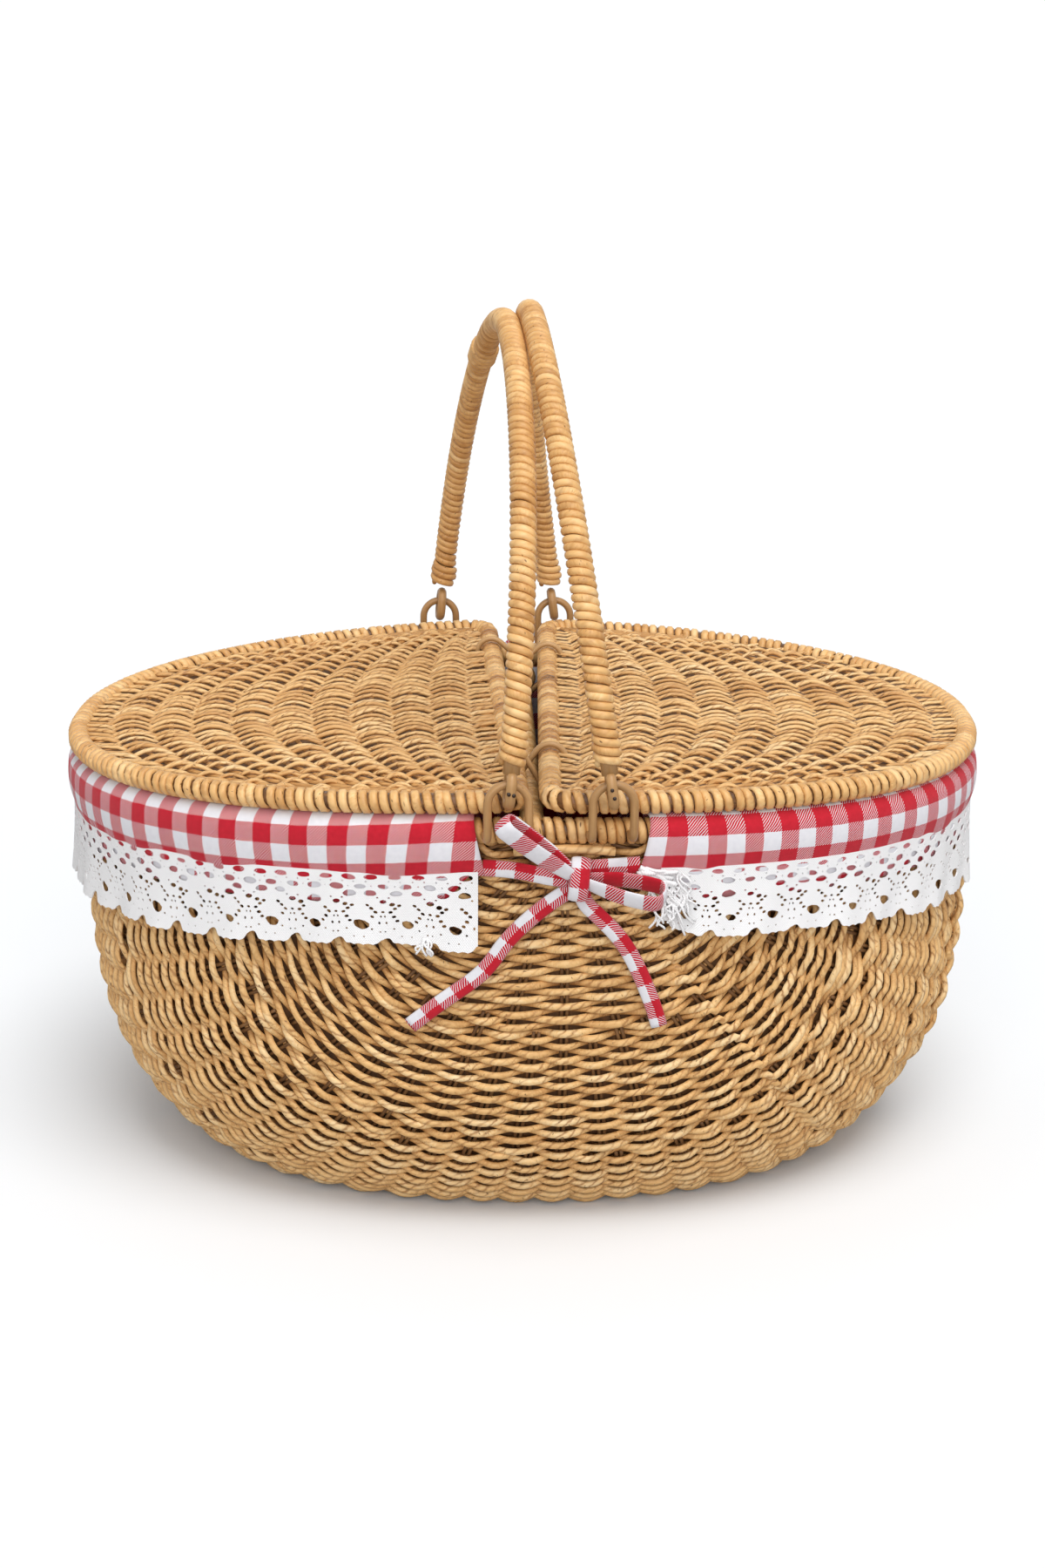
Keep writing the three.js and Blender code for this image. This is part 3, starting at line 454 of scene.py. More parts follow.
# one rib from the pole at the front of the rim down to the middle of the basket, as a fine line
def ribLine(phi, look):
    top, inset, power = form["rimHeight"], look["inset"], form["planPower"]
    c, s = math.cos(phi), math.sin(phi)
    poleY = bodyHalf[1] - inset

    def depthAt(x, z):
        level = z / (1 - droop(x) / top)
        room = bodyHalf * wallShare((level - inset) / (form["bodyTop"] - inset))[..., None] - inset
        inside = 1 - np.abs(x / room[..., 0]) ** power
        return np.where(inside > 0, room[..., 1] * np.maximum(inside, 0) ** (1 / power), -1)

    floorReach = (top - inset) / max(s, 1e-6)
    reach, high = 0.0, min(floorReach, look["farthest"])
    for _ in range(look["halvings"]):  # halving finds how far down the rib stays inside the wall
        middle = (reach + high) / 2
        inside = depthAt(np.array([-middle * c]), np.array([top - middle * s]))[0]
        reach, high = (middle, high) if inside > 0 else (reach, middle)
    r = reach * (1 - (1 - np.linspace(0, 1, look["ribPoints"])) ** look["ribBunch"])
    z = top - r * s
    y = np.full_like(r, poleY)
    for _ in range(look["rounds"]):
        x = look["poleX"] * y / poleY - r * c
        y = np.maximum(depthAt(x, z), 0)
    x = look["poleX"] * y / poleY - r * c
    line = np.stack([x, -y, z], -1)
    if floorReach < look["farthest"] and reach >= floorReach - 1e-6:
        across = np.linspace(y[-1], 0, look["floorPoints"])[1:]
        x = look["poleX"] * across / poleY - reach * c
        return np.vstack([line, np.stack([x, -across, np.full_like(across, z[-1])], -1)])
    return np.vstack([line, [[-reach * c, 0, top - reach * s]]])


def weaveGrid(look):
    ribs = (np.arange(look["ribs"]) - (look["ribs"] - 1) / 2) * math.radians(look["ribAngle"])
    ribs = ribs + math.pi / 2
    marks = np.concatenate([[look["endAngle"]], ribs, [math.pi - look["endAngle"]]])
    spans = range(len(marks) - 1)
    order = np.concatenate([np.linspace(k, k + 1, look["perRib"], endpoint=False) for k in spans])
    order = np.append(order, len(spans))
    phis = np.interp(order, np.arange(len(marks)), marks)
    lines = [ribLine(phi, look) for phi in phis]
    total = np.linalg.norm(np.diff(ribLine(math.pi / 2, look), axis=0), axis=1).sum()
    return order, phis, lines, [runLength(line) for line in lines], total


# how far along its rib a row lies: flat across the pole, round it further out
def rowReach(phi, deep, look):
    c, s = abs(math.cos(phi)), math.sin(phi)
    w = look["poleWide"]
    if deep / max(s, 1e-6) * c <= w:
        return deep / s
    return w * c + math.sqrt(max(deep * deep - w * w * s * s, 0))


def bodyStrands(look):
    order, phis, lines, lengths, total = weaveGrid(look)
    rows = int(total / look["pitch"])
    grid = np.empty((rows + 1, len(phis), 3))
    for k, phi in enumerate(phis):
        deep = (np.arange(rows + 1) + look["rowStart"]) * total / (rows + look["rowSpare"])
        f = deep / total
        start = np.array([rowReach(phi, d, look) - d for d in deep])
        place = lengths[k][-1] * f + start * (1 - f) ** look["spread"]
        place = np.minimum(place, lengths[k][-1])
        grid[:, k] = pick(lines[k], lengths[k], place)
    alongRow = np.gradient(grid, axis=1)
    alongRib = np.gradient(grid, axis=0)
    normal = unit(np.cross(alongRow, alongRib))
    outwards = (normal * (grid - np.array([0, 0, look["middleHeight"]]))).sum(-1, keepdims=True)
    normal = normal * np.sign(outwards + 1e-9)
    spacing = np.linalg.norm(alongRow, axis=-1) * look["perRib"]
    each = spacing[:, :-1].reshape(len(spacing), -1, look["perRib"]).mean(-1)
    splits = np.clip(np.round(each / look["ribSpace"]), 1, look["mostSplits"])
    return order, grid, normal, unit(alongRib), spacing, splits


def weaveBody(look):
    order, grid, normal, alongRib, spacing, splits = bodyStrands(look)
    middle = len(order) // 2
    flat, bend = (look["over"] + look["under"]) / 2, (look["over"] - look["under"]) / 2
    weavers = {end + part: [] for end in ("front", "back") for part in ("_upper", "_lower")}
    rows = len(grid)
    for end, flip in (("front", 0), ("back", 1)):
        for i in range(rows - 1):
            keep = grid[i, :, 2] < form["rimHeight"] - look["underRim"] - droop(grid[i, :, 0])
            if keep.sum() < 6:
                continue
            seed = 1000 * flip + i
            split = np.repeat(splits[i], look["perRib"])
            phase = np.r_[0, np.cumsum(split)] / look["perRib"]
            strength = np.clip(spacing[i] / np.append(split, split[-1]) / look["fullBend"], 0.3, 1)
            wave = np.cos(np.pi * (phase - phase[middle] + i + flip))
            lift = flat + bend * wave * strength
            drift = smoothNoise(len(order), 20, seed) * look["looseness"]
            path = grid[i] + normal[i] * lift[:, None] + alongRib[i] * drift[:, None]
            path[:, 2] = np.maximum(path[:, 2], look["thick"] + 0.0001)
            up = normal[i]
            if end == "back":
                path, up = halfTurn(path), halfTurn(up)
            size = 1 + look["sizes"] * smoothNoise(len(order), 26, 5000 + seed)
            wide = look["wide"] * size * (0.86 + 0.14 * wave)
            tone = chance.uniform(*look["tones"])
            tone = tone + look["toneDrift"] * smoothNoise(len(order), 60, 9000 + seed)
            # painted shade and painted light: the parts of each weaver that go under are darkened and the
            # parts that lie over are lightened, for the shade and light that fall on them
            tone = np.clip(tone, 0, 1) + look["paintedShadeUnder"] * np.minimum(wave, 0)
            tone = tone + look["paintedLightOver"] * np.maximum(wave, 0)
            values = np.column_stack([path, up, wide, look["thick"] * size, tone])[keep]
            length = runLength(values[:, :3])
            rings = max(6, int(length[-1] / look["ringEvery"]))
            values = pick(values, length, np.linspace(0, length[-1], rings))
            part = "_upper" if i < look["upperShare"] * rows else "_lower"
            strand = {"path": values[:, :3], "up": values[:, 3:6], "wide": values[:, 6],
                      "thick": values[:, 7], "tone": values[:, 8], "shift": chance.uniform(0, 1)}
            weavers[end + part].append(strand)
    return weavers, bodySticks(look, grid, normal, alongRib, splits)


# pairs of sticks at each rib, and at the ribs that are let in where the row is split
def bodySticks(look, grid, normal, alongRib, splits):
    columns = {k * look["perRib"]: np.full(len(grid), True) for k in range(1, look["ribs"] + 1)}
    for k in range(look["ribs"] + 1):
        for parts in range(2, look["mostSplits"] + 1):
            for part in range(1, parts):
                column = k * look["perRib"] + part * look["perRib"] // parts
                columns[column] = columns.get(column, False) | (splits[:, k] == parts)
    sticks = []
    for column, shown in columns.items():
        across = unit(np.cross(alongRib[:, column], normal[:, column]))
        for side in (-1, 1):
            line = grid[:, column] + across * side * look["stickApart"]
            keep = np.flatnonzero((line[:, 2] < form["rimHeight"] - look["stickUnderRim"]) & shown)
            runs = np.split(keep, np.flatnonzero(np.diff(keep) > 1) + 1)
            for run in [run for run in runs if len(run) > 3]:
                stick = rod(line[run], normal[run, column], look["stick"],
                            chance.uniform(*look["stickTones"]), shift=chance.uniform(0, 1))
                turned = {"path": halfTurn(stick["path"]), "up": halfTurn(stick["up"])}
                sticks += [stick, {**stick, **turned}]
    return sticks


weavers, sticks = weaveBody(bodyWeave)

# the short cut stick that lies under the rim at the front
rimStick = {"x": (-0.004, 0.043), "z": 0.2040, "radius": 0.0023, "tone": 0.8}
stickX = np.linspace(*rimStick["x"], 12)
stickPath = np.stack([stickX, -(wallDepth(stickX, rimStick["z"]) + 0.0008 + 0.0006 * np.sin(stickX * 160)),
                      rimStick["z"] + 0.0010 * np.sin(stickX * 90)], -1)
weavers["front_upper"].append(rod(stickPath, np.array([0, -1, 0]), rimStick["radius"], rimStick["tone"]))

# painted shade: a dark sheet inside the weave, which closes the gaps between the weavers and stands for
# the shade seen through them
inner = {"inset": 0.0074, "thick": 0.0006, "around": 96, "levels": 16, "floor": (0.66, 0.33, 0.01)}


def innerShadeSheet(look):
    around = np.linspace(0, 2 * np.pi, look["around"], endpoint=False)
    inset = look["inset"]
    rows = []
    for height in np.linspace(1, 0, look["levels"]) ** 1.6:
        x, y = planPoint(bodyHalf * wallShare(height) - inset, around)
        z = inset + height * (form["bodyTop"] - inset)
        rows.append(np.stack([x, y, z - droop(x) * z / form["rimHeight"]], -1))
    rows[-1][:, 2] = inset
    rows += [rows[-1] * np.array([share, share, 1]) for share in look["floor"]]
    grid = np.array(rows)
    return clothGrid("inner_shade_sheet", grid, grid[..., :2], gapShadeFinish, look["thick"], True)


settle(innerShadeSheet(inner), "basket", "willow_weave", "body_weave")
for name, strands in weavers.items():
    woven = strandMesh(name + "_weavers", strands, willowFinish, 6)
    settle(woven, "basket", "willow_weave", "body_weave")
    print(name, "woven:", len(strands), "weavers,", 2 * len(woven.data.polygons), "triangles")
settle(strandMesh("rib_sticks", sticks, gapShadeFinish, 6), "basket", "willow_weave", "body_weave")


# a cane wound round a path; normal gives where a turn starts, radius is to the middle of the cane
def woundStrand(path, normal, closed, look, seed):
    line = ringed(path, closed)
    length = runLength(line)
    long = length[-1]
    turns = max(2, round(long / look["pitch"]))
    turnAt = np.arange(turns * look["perTurn"] + (0 if closed else 1)) / look["perTurn"]
    source = np.random.default_rng(seed)

    def byTurn(values):
        return np.interp(turnAt, np.arange(turns + 1), values)

    ragged = byTurn(source.normal(0, look["uneven"], turns + 1))
    place = np.clip(turnAt / turns * long + ragged * look["pitch"], 0, long)
    travel = unit(np.gradient(line, axis=0))
    if closed:
        travel[0] = travel[-1] = unit(line[1] - line[-2])
    travel = unit(pick(travel, length, place))
    first = unit(normal - travel * (normal * travel).sum(1, keepdims=True))
    second = np.cross(travel, first)
    angle = 2 * np.pi * turnAt * look.get("hand", 1) + look.get("startAngle", 0)
    away = first * np.cos(angle)[:, None] + second * np.sin(angle)[:, None]
    swell = byTurn(source.normal(0, look["uneven"] * 0.8, turns + 1))
    radius = look["radius"] * (1 + 0.10 * swell)
    for share, over, extra in look.get("bands", ()):  # thicker places
        toBand = np.abs(place / long - share) * long
        radius = radius + extra * np.clip((over / 2 - toBand) / 0.003, 0, 1)
    tone = byTurn(source.uniform(look.get("darkest", 0.15), 0.95, turns + 1))
    return {"path": pick(line, length, place) + away * radius[:, None], "up": away, "wide": look["wide"],
            "thick": look["thick"], "tone": tone, "closed": closed}


# painted shade: the rod inside each winding takes the darkest tone, for the shade between the turns
shadedCoreTone = -0.9  # of a rod that shows dark between the turns

rimWinding = {
    "pitch": 0.0047, "radius": 0.0052, "wide": 0.00210, "thick": 0.0015, "core": 0.0046,
    "perTurn": 10, "uneven": 0.10,
}
rimLine = resample(rimPoint(np.linspace(0, 2 * np.pi, 600, endpoint=False), 0, 0), 900, True)
rimCane = [woundStrand(rimLine, upward, True, rimWinding, 21),
           rod(rimLine[::6], upward, rimWinding["core"], shadedCoreTone, closed=True)]
settle(strandMesh("rim_winding", rimCane, woundFinish, 6), "basket", "wrapped_cane", "rim_hoop")

barWinding = {
    "pitch": 0.0048, "radius": 0.0047, "wide": 0.0021, "thick": 0.0013, "core": 0.0042,
    "perTurn": 10, "uneven": 0.06, "gap": 0.0003,
}
barReach = hoopHalf[1] - form["hoopRod"] - barWinding["gap"]
barY = np.linspace(-barReach, barReach, 60)
barLine = np.stack([crossing(form["centreBar"], barY), barY, np.full_like(barY, form["rimHeight"])], -1)
barCane = [woundStrand(barLine, upward, False, barWinding, 22),
           rod(barLine[::8], upward, barWinding["core"], shadedCoreTone)]
settle(strandMesh("centre_bar_winding", barCane, woundFinish, 8), "basket", "wrapped_cane", "centre_bar")
print("rim and centre bar wound")

# a lid: a wound D frame, and a panel of weavers that pass over and under its ribs
lidPanel = {
    "ribs": 9, "perRib": 6, "pitch": 0.0039, "wide": 0.00150, "thick": 0.00105, "lift": 0.0010,
    "over": 0.0032, "under": -0.0026, "fullBend": 0.014, "flatEdge": 0.012, "paintedShadeUnder": 1.30,
    "looseness": 0.0017, "uneven": 0.0005, "sizes": 0.24, "pairOver": 0.016, "pairPull": 1.5,
    "gap": 0.0003, "edge": 0.0015, "shortest": 0.012, "tuckIn": 0.005, "seeds": {-1: 300, 1: 700},
    "stick": 0.0013, "stickLift": 0.0004, "shadedStickTone": 0.1, "stickShort": 0.002, "middle": 0.0004,
}
lidWinding = {
    "pitch": 0.0050, "radius": 0.0045, "wide": 0.00220, "thick": 0.0014, "core": 0.0043,
    "perTurn": 10, "uneven": 0.11,
}
# partly painted shade: the turns of the straight edge's winding take random tones reaching far darker than
# the frame's, which also stands for the shade in the grooves between them
edgeWinding = {
    **lidWinding, "pitch": 0.0060, "radius": 0.0042, "wide": 0.00205, "thick": 0.0019, "darkest": -0.5,
}


# X of a lid's straight edge at a depth, moved in from the outside of its rod
def lidEdge(side, y, inset):
    hinge = form["leftHinge"] if side < 0 else form["rightHinge"]
    return crossing(hinge, y) + side * (inset - form["lidRod"])


def lidOutline(side, inset):
    half = form["lidHalf"] - inset
    corner = 0.013
    parts = {}
    for end in (-1, 1):
        y = end * planDepth(half, lidEdge(side, end * half[1], inset))
        at = np.array([lidEdge(side, y, inset), y])
        straightY = y - end * corner
        straight = np.array([lidEdge(side, straightY, inset), straightY])
        curvedX = at[0] + side * corner
        curved = np.array([curvedX, end * planDepth(half, curvedX)])
        t = np.linspace(0, 1, 9)[:, None]
        parts[end] = (1 - t) ** 2 * straight + 2 * t * (1 - t) * at + t ** 2 * curved
    start, stop = planAngle(half, parts[1][-1][0]), 2 * np.pi - planAngle(half, parts[-1][-1][0])
    sweep = np.linspace(start, stop if side < 0 else stop - 2 * np.pi, 120)[1:-1]
    curve = np.stack(planPoint(half, sweep), -1)
    outline = np.vstack([parts[1], curve, parts[-1][::-1]])
    return np.column_stack([outline, form["lidMiddle"] - droop(outline[:, 0])])


def weaveLid(side, look):
    inset = 2 * form["lidRod"] + look["gap"]
    half = form["lidHalf"] - inset
    marks = look["ribs"] + 1
    flat, bend = (look["over"] + look["under"]) / 2, (look["over"] - look["under"]) / 2

    def acrossAt(y, share):
        near = lidEdge(side, y, inset)
        return near + (side * planDepth(half[::-1], y) - near) * share

    order = np.linspace(0, marks, marks * look["perRib"] + 1)
    strands = []
    for j in range(int(2 * (half[1] - look["edge"]) / look["pitch"])):
        rowY = -half[1] + look["edge"] + (j + 0.5) * look["pitch"]
        reach = abs(acrossAt(rowY, 1) - acrossAt(rowY, 0))
        x = acrossAt(rowY, order / marks)
        if side * (x[-1] - x[0]) < look["shortest"]:
            continue
        toEdge = np.minimum(order, marks - order) / marks * reach
        pull = np.clip(1 - toEdge / look["pairOver"], 0, 1) ** 1.5
        partner = (look["pitch"] if j % 2 == 0 else -look["pitch"]) / 2
        seed = look["seeds"][side] + j
        y = rowY + smoothNoise(len(order), 5, seed) * look["looseness"] + partner * pull * look["pairPull"]
        strength = np.clip(reach / marks / look["fullBend"], 0.25, 1)
        strength = strength * np.clip(toEdge / look["flatEdge"], 0.3, 1)
        wave = np.cos(np.pi * (order + j)) * strength
        z = form["lidMiddle"] - droop(x) + look["lift"] + flat
        z = z + bend * wave + look["uneven"] * smoothNoise(len(order), 7, seed + 2000)
        size = np.pad(1 + look["sizes"] * smoothNoise(len(order), 8, seed + 5000), 1, "edge")
        tone = np.clip(chance.uniform(0.25, 0.95) + 0.15 * smoothNoise(len(order), 12, seed + 9000), 0, 1)
        # painted shade: the parts of each weaver that go under a rib are darkened, for the shade that
        # falls on them
        tone = tone + look["paintedShadeUnder"] * np.minimum(wave, 0)
        path = np.stack([x, y, z], -1)
        tuckIn = np.array([side * look["tuckIn"], 0, 0])
        path = np.vstack([path[:1] - tuckIn, path, path[-1:] + tuckIn])
        strands.append({"path": path, "up": upward, "wide": look["wide"] * size,
                        "thick": look["thick"] * size, "tone": np.pad(tone, 1, "edge"),
                        "shift": chance.uniform(0, 1)})
    y = np.linspace(-half[1] + look["stickShort"], half[1] - look["stickShort"], 70)
    for k in range(1, marks):
        x = acrossAt(y, k / marks)
        z = form["lidMiddle"] - droop(x) + look["lift"] + look["stickLift"]
        # painted shade: the ribs under a lid's weavers take a dark tone, for the shade in the gaps
        strands.append(rod(np.stack([x, y, z], -1), upward, look["stick"], look["shadedStickTone"]))
    return strands


# painted shade: a dark sheet in the middle of a lid, seen from above and below through the gaps between
# the weavers, standing for the shade there
def lidMiddle(name, side, look):
    outline = lidOutline(side, 2 * form["lidRod"] - 0.001)
    middle = outline.mean(0)
    rings = np.array([middle + (outline - middle) * share for share in (1, 0.8, 0.6, 0.4, 0.2, 0.002)])
    height = form["lidMiddle"] - droop(rings[..., 0]) + look["lift"]
    rings[..., 2] = height + (look["over"] + look["under"]) / 2
    return clothGrid(name + "_lid_shade_sheet", rings, rings[..., :2], gapShadeFinish, look["middle"], True)


for name, side, seeds in (("left", -1, (31, 33)), ("right", 1, (32, 34))):
    lid = name + "_lid"
    outline = lidOutline(side, form["lidRod"])
    lidCane = [woundStrand(resample(outline, 600), upward, False, lidWinding, seeds[0]),
               woundStrand(np.linspace(outline[-1], outline[0], 90), upward, False, edgeWinding, seeds[1]),
               rod(resample(outline, 140, True), upward, lidWinding["core"], shadedCoreTone, closed=True)]
    settle(strandMesh(lid + "_winding", lidCane, woundFinish, 6), lid, "wrapped_cane", lid + "_frame")
    settle(lidMiddle(name, side, lidPanel), lid, "willow_weave", lid + "_weave")
    panel = strandMesh(lid + "_panel", weaveLid(side, lidPanel), willowFinish, 6)
    settle(panel, lid, "willow_weave", lid + "_weave")
print("lids woven")

# a handle: a rod bent into an eye at each end, and two canes wound round it side by side
handle = {
    "eyeOffset": 0.0051, "bend": 0.0095, "eyeSlack": 0.0045, "power": 1.8, "eye": 0.0025, "rod": 0.004,
    "rodTone": 0.45, "eyeTone": 0.55,
    "nail": 0.0009, "nailDeep": 0.0012, "nailProud": 0.0002, "nailTone": -1.0,
}
handles = {
    "left": {"side": -1, "front": -0.0065, "back": -0.0485, "rise": 0.1953, "lean": 0.0192, "seed": 41,
             "nails": [(-0.0012, 0.0070), (0.0011, 0.0066)],
             "bands": [(0.012, 0.010, 0.0005), (0.665, 0.020, 0.0014), (0.988, 0.013, 0.0012)]},
    "right": {"side": 1, "front": 0.0415, "back": 0.0185, "rise": 0.2007, "lean": 0.0259, "seed": 42,
              "nails": [(0.0003, 0.0052), (-0.0003, 0.0092)],
              "bands": [(0.012, 0.010, 0.0005), (0.988, 0.013, 0.0012)]},
}
handleWinding = {
    "pitch": 0.0080, "radius": 0.0049, "wide": 0.00200, "thick": 0.0015,
    "perTurn": 16, "uneven": 0.03, "hand": -1, "darkest": -0.1,
}


def handleSkew(shape):
    return math.atan2(shape["front"] - shape["back"], 2 * form["stapleOut"])


def handleTurn(shape, rows):
    lean = -shape["side"] * math.asin(shape["lean"] / shape["rise"])
    x, y, z = rows[:, 0], rows[:, 1], rows[:, 2]
    x, z = x * math.cos(lean) + z * math.sin(lean), -x * math.sin(lean) + z * math.cos(lean)
    c, s = math.cos(handleSkew(shape)), math.sin(handleSkew(shape))
    return np.stack([x * c - y * s, x * s + y * c, z], -1)


def handlePlace(shape, rows):
    middle = (shape["front"] + shape["back"]) / 2
    return handleTurn(shape, rows) + np.array([middle, 0, form["pivotHeight"]])


def archLine(shape, reach):
    foot = handle["bend"] + handle["eyeOffset"]
    angle = np.linspace(0, np.pi, 400)
    c, s = np.cos(angle), np.sin(angle)
    power = 2 / handle["power"]
    y = -reach * np.sign(c) * np.abs(c) ** power
    line = np.stack([0 * y, y, foot + (shape["rise"] - foot) * np.abs(s) ** power], -1)
    return resample(line, 400)


eyeAngle = np.linspace(0, 2 * np.pi, 28, endpoint=False) + np.pi / 28
eyeRing = np.stack([0 * eyeAngle, handle["eyeOffset"] * np.cos(eyeAngle),
                    handle["bend"] - handle["eyeSlack"] / 2 + handle["eyeOffset"] * np.sin(eyeAngle)
                    + np.sign(np.sin(eyeAngle)) * handle["eyeSlack"] / 2], -1)
for name, shape in handles.items():
    reach = form["stapleOut"] / math.cos(handleSkew(shape))
    arch = archLine(shape, reach)
    across = handleTurn(shape, np.array([[1.0, 0, 0]]))[0]
    grip = handlePlace(shape, arch[4:396])
    wraps = []
    for half in (0, 1):
        look = {**handleWinding, "bands": shape["bands"], "startAngle": half * np.pi}
        wraps.append(woundStrand(grip, across, False, look, shape["seed"] + 10 * half))
    wrapped = strandMesh(name + "_handle_winding", wraps, woundFinish, 8)
    wrapNodes = [name + "_handle_" + end + "_wrap" for end in ("front", "back")]
    settle(wrapped, name + "_handle", "wrapped_cane", *wrapNodes)
    rods = [rod(handlePlace(shape, arch[::8]), across, handle["rod"], handle["rodTone"])]
    for end in (-1, 1):
        ring = handlePlace(shape, eyeRing + np.array([0, end * reach, 0]))
        rods.append(rod(ring, across, handle["eye"], handle["eyeTone"], closed=True))
        front = end * (reach + handle["eyeOffset"] + handle["eye"])
        for sideways, height in shape["nails"]:
            nail = np.array([[sideways, front - end * handle["nailDeep"], height],
                             [sideways, front + end * handle["nailProud"], height]])
            rods.append(rod(handlePlace(shape, nail), across, handle["nail"], handle["nailTone"]))
    core = strandMesh(name + "_handle_rod", rods, bareFinish, 10)
    settle(core, name + "_handle", "bare_cane", name + "_handle_core")
print("handles wound")

staple = {"rod": 0.002, "bend": 0.0095, "foot": 0.0005}


def bendStaple(name, x0, skew, turned):
    footZ = form["rimHeight"] - staple["foot"]
    reach = form["stapleOut"] - planDepth(bodyHalf, abs(x0) + staple["bend"]) + form["wall"] / 2
    leg = np.array([[0, reach, footZ], [0, reach - 0.007, footZ], [0, 0.0015, footZ + 0.001],
                    [0, 0, footZ + 0.008], [0, 0, form["pivotHeight"]]])
    bend = np.linspace(np.pi, 0, 15)
    top = np.stack([staple["bend"] * np.cos(bend), 0 * bend,
                    form["pivotHeight"] + staple["bend"] * np.sin(bend)], -1)
    offset = np.array([staple["bend"], 0, 0])
    route = rounded(np.vstack([leg - offset, top[1:-1], leg[::-1] + offset]), 2)
    c, s = math.cos(skew), math.sin(skew)
    path = np.stack([route[:, 0] * c - route[:, 1] * s + x0,
                     route[:, 0] * s + route[:, 1] * c - form["stapleOut"], route[:, 2]], -1)
    up = np.array([-s, c, 0])
    if turned:
        path, up = halfTurn(path), halfTurn(up)
    cane = rod(path, up, staple["rod"], chance.uniform(0.4, 0.7))
    settle(strandMesh(name + "_cane", [cane], bareFinish, 10), "basket", "bare_cane", name)


for name, shape in handles.items():
    bendStaple("front_" + name + "_staple", shape["front"], handleSkew(shape), False)
    bendStaple("back_" + name + "_staple", -shape["back"], handleSkew(shape), True)

# cane loops that hold each lid's edge rod to the centre bar
hinge = {"cane": 0.0015, "radius": 0.0078, "tone": 1.2, "depthShare": {"left": 0.64, "right": 0.57}}
for sideName, share in hinge["depthShare"].items():
    at = share * form["lidHalf"][1]
    for endName, y in (("front", -at), ("back", at)):
        lid = np.array([crossing(form[sideName + "Hinge"], y), y, form["lidMiddle"]])
        bar = np.array([crossing(form["centreBar"], y), y, form["rimHeight"]])
        towards = math.atan2(lid[2] - bar[2], lid[0] - bar[0])
        path = []
        for centre, heading in ((lid, towards), (bar, towards + np.pi)):
            angle = heading + np.pi / 2 - np.linspace(0, np.pi, 14)
            path.append(centre + hinge["radius"] * np.stack([np.cos(angle), 0 * angle, np.sin(angle)], -1))
        name = sideName + "_" + endName + "_hinge_loop"
        loop = rod(np.vstack(path), np.array([0, 1, 0]), hinge["cane"], hinge["tone"], closed=True)
        settle(strandMesh(name + "_cane", [loop], bareFinish, 8), "basket", "bare_cane", name)
print("staples and hinge loops bent")

# a cuff: gingham folded over the rim, with a hem that runs on behind the lace
cuff = {
    "radius": 0.0082, "thick": 0.0010, "inside": 218, "tuck": 0.0024, "belly": 0.0007, "wrinkle": 0.0005,
    "drop": {"left": 0.0193, "right": 0.0174}, "lean": 0.0054, "leanOver": 0.11,
    "behind": 0.015, "behindIn": 0.0012, "behindEnds": (0.006, 0.010),
    "skew": {"left": 0.23, "right": 0.0}, "endWhite": (0.0045, 0.0080),
    "hemRow": {"left": (0.0009, 0.0045, 0.080), "right": (0.0009, 0.0009, 0.080)},
    "ends": {"left": (0.0660, 0.0222), "right": (0.0580, 0.0330)},
}


# hoop angles between which a cloth hangs that ends at these X at the back and at the front
def hoopSpan(far, near):
    return planAngle(hoopHalf, -far), 2 * np.pi - planAngle(hoopHalf, -near)


def cuffGrid(look, name, turned):
    start, stop = hoopSpan(*look["ends"][name])
    low = look["drop"][name]
    angles = np.linspace(start, stop, 260)
    bends = np.radians(np.linspace(look["inside"], 0, 16))
    across = [(look["radius"] * math.cos(b), look["radius"] * math.sin(b)) for b in bends]
    down = np.linspace(0, 1, 9)[1:]
    belly = look["belly"] * np.sin(np.pi * down)
    across += [(look["radius"] - look["tuck"] * d ** 1.5 + e, -low * d) for d, e in zip(down, belly)]
    hemOut = look["radius"] - look["tuck"]
    across += [(hemOut - look["behindIn"] * min(1, 3 * d), -low - look["behind"] * d)
               for d in (0.08, 0.33, 0.66, 1.0)]
    across = np.array(across)
    width = runLength(across)
    wide = width[-1]
    width = width[-5] - width
    ripple = smoothNoise(len(angles), 14, 77 if turned else 78)
    fine = smoothNoise(len(angles), 5, 79 if turned else 80)
    nearEnd = np.clip(1 - (stop - angles) / look["leanOver"], 0, 1)
    nearEnd = nearEnd + np.clip(1 - (angles - start) / look["leanOver"], 0, 1)
    along = runLength(rimPoint(angles, hemOut, -low))
    long = along[-1]
    shortBy, over = look["behindEnds"]
    shown = np.clip((np.minimum(along, long - along) - shortBy) / over, 0, 1)
    grid = np.empty((len(across), len(angles), 3))
    for k, (out, up) in enumerate(across):
        up = np.where(up < -low, -low + (up + low) * shown, up)
        hang = np.clip(-up / low, 0, 1)
        loose = look["wrinkle"] * (ripple * (0.4 + hang) + 0.5 * fine * hang) * (up > -low - 0.0001)
        grid[k] = rimPoint(angles, out + (loose if out > 0 else 0), up)
        if out > 0:
            share = np.minimum(1, (look["radius"] - up) / (look["radius"] + low))
            grid[k, :, 0] += look["lean"] * nearEnd * share
    pair = 2 * gingham["check"]
    first, last = pair - look["endWhite"][0], pair / 2 + look["endWhite"][1]
    whole = round((long + first - last) / pair) * pair + last - first
    toBow = along if turned else long - along
    atBow, further, over = look["hemRow"][name]
    row = atBow + (further - atBow) * np.clip(toBow / over, 0, 1)
    along = first + (long - along) * whole / long
    skew = look["skew"][name] * np.clip(1 - toBow / over, 0, 1)
    coords = np.stack(np.broadcast_arrays(along[None] + skew * width[:, None], width[:, None] + row), -1)
    if turned:
        grid = halfTurn(grid)
    return grid, coords, long, wide


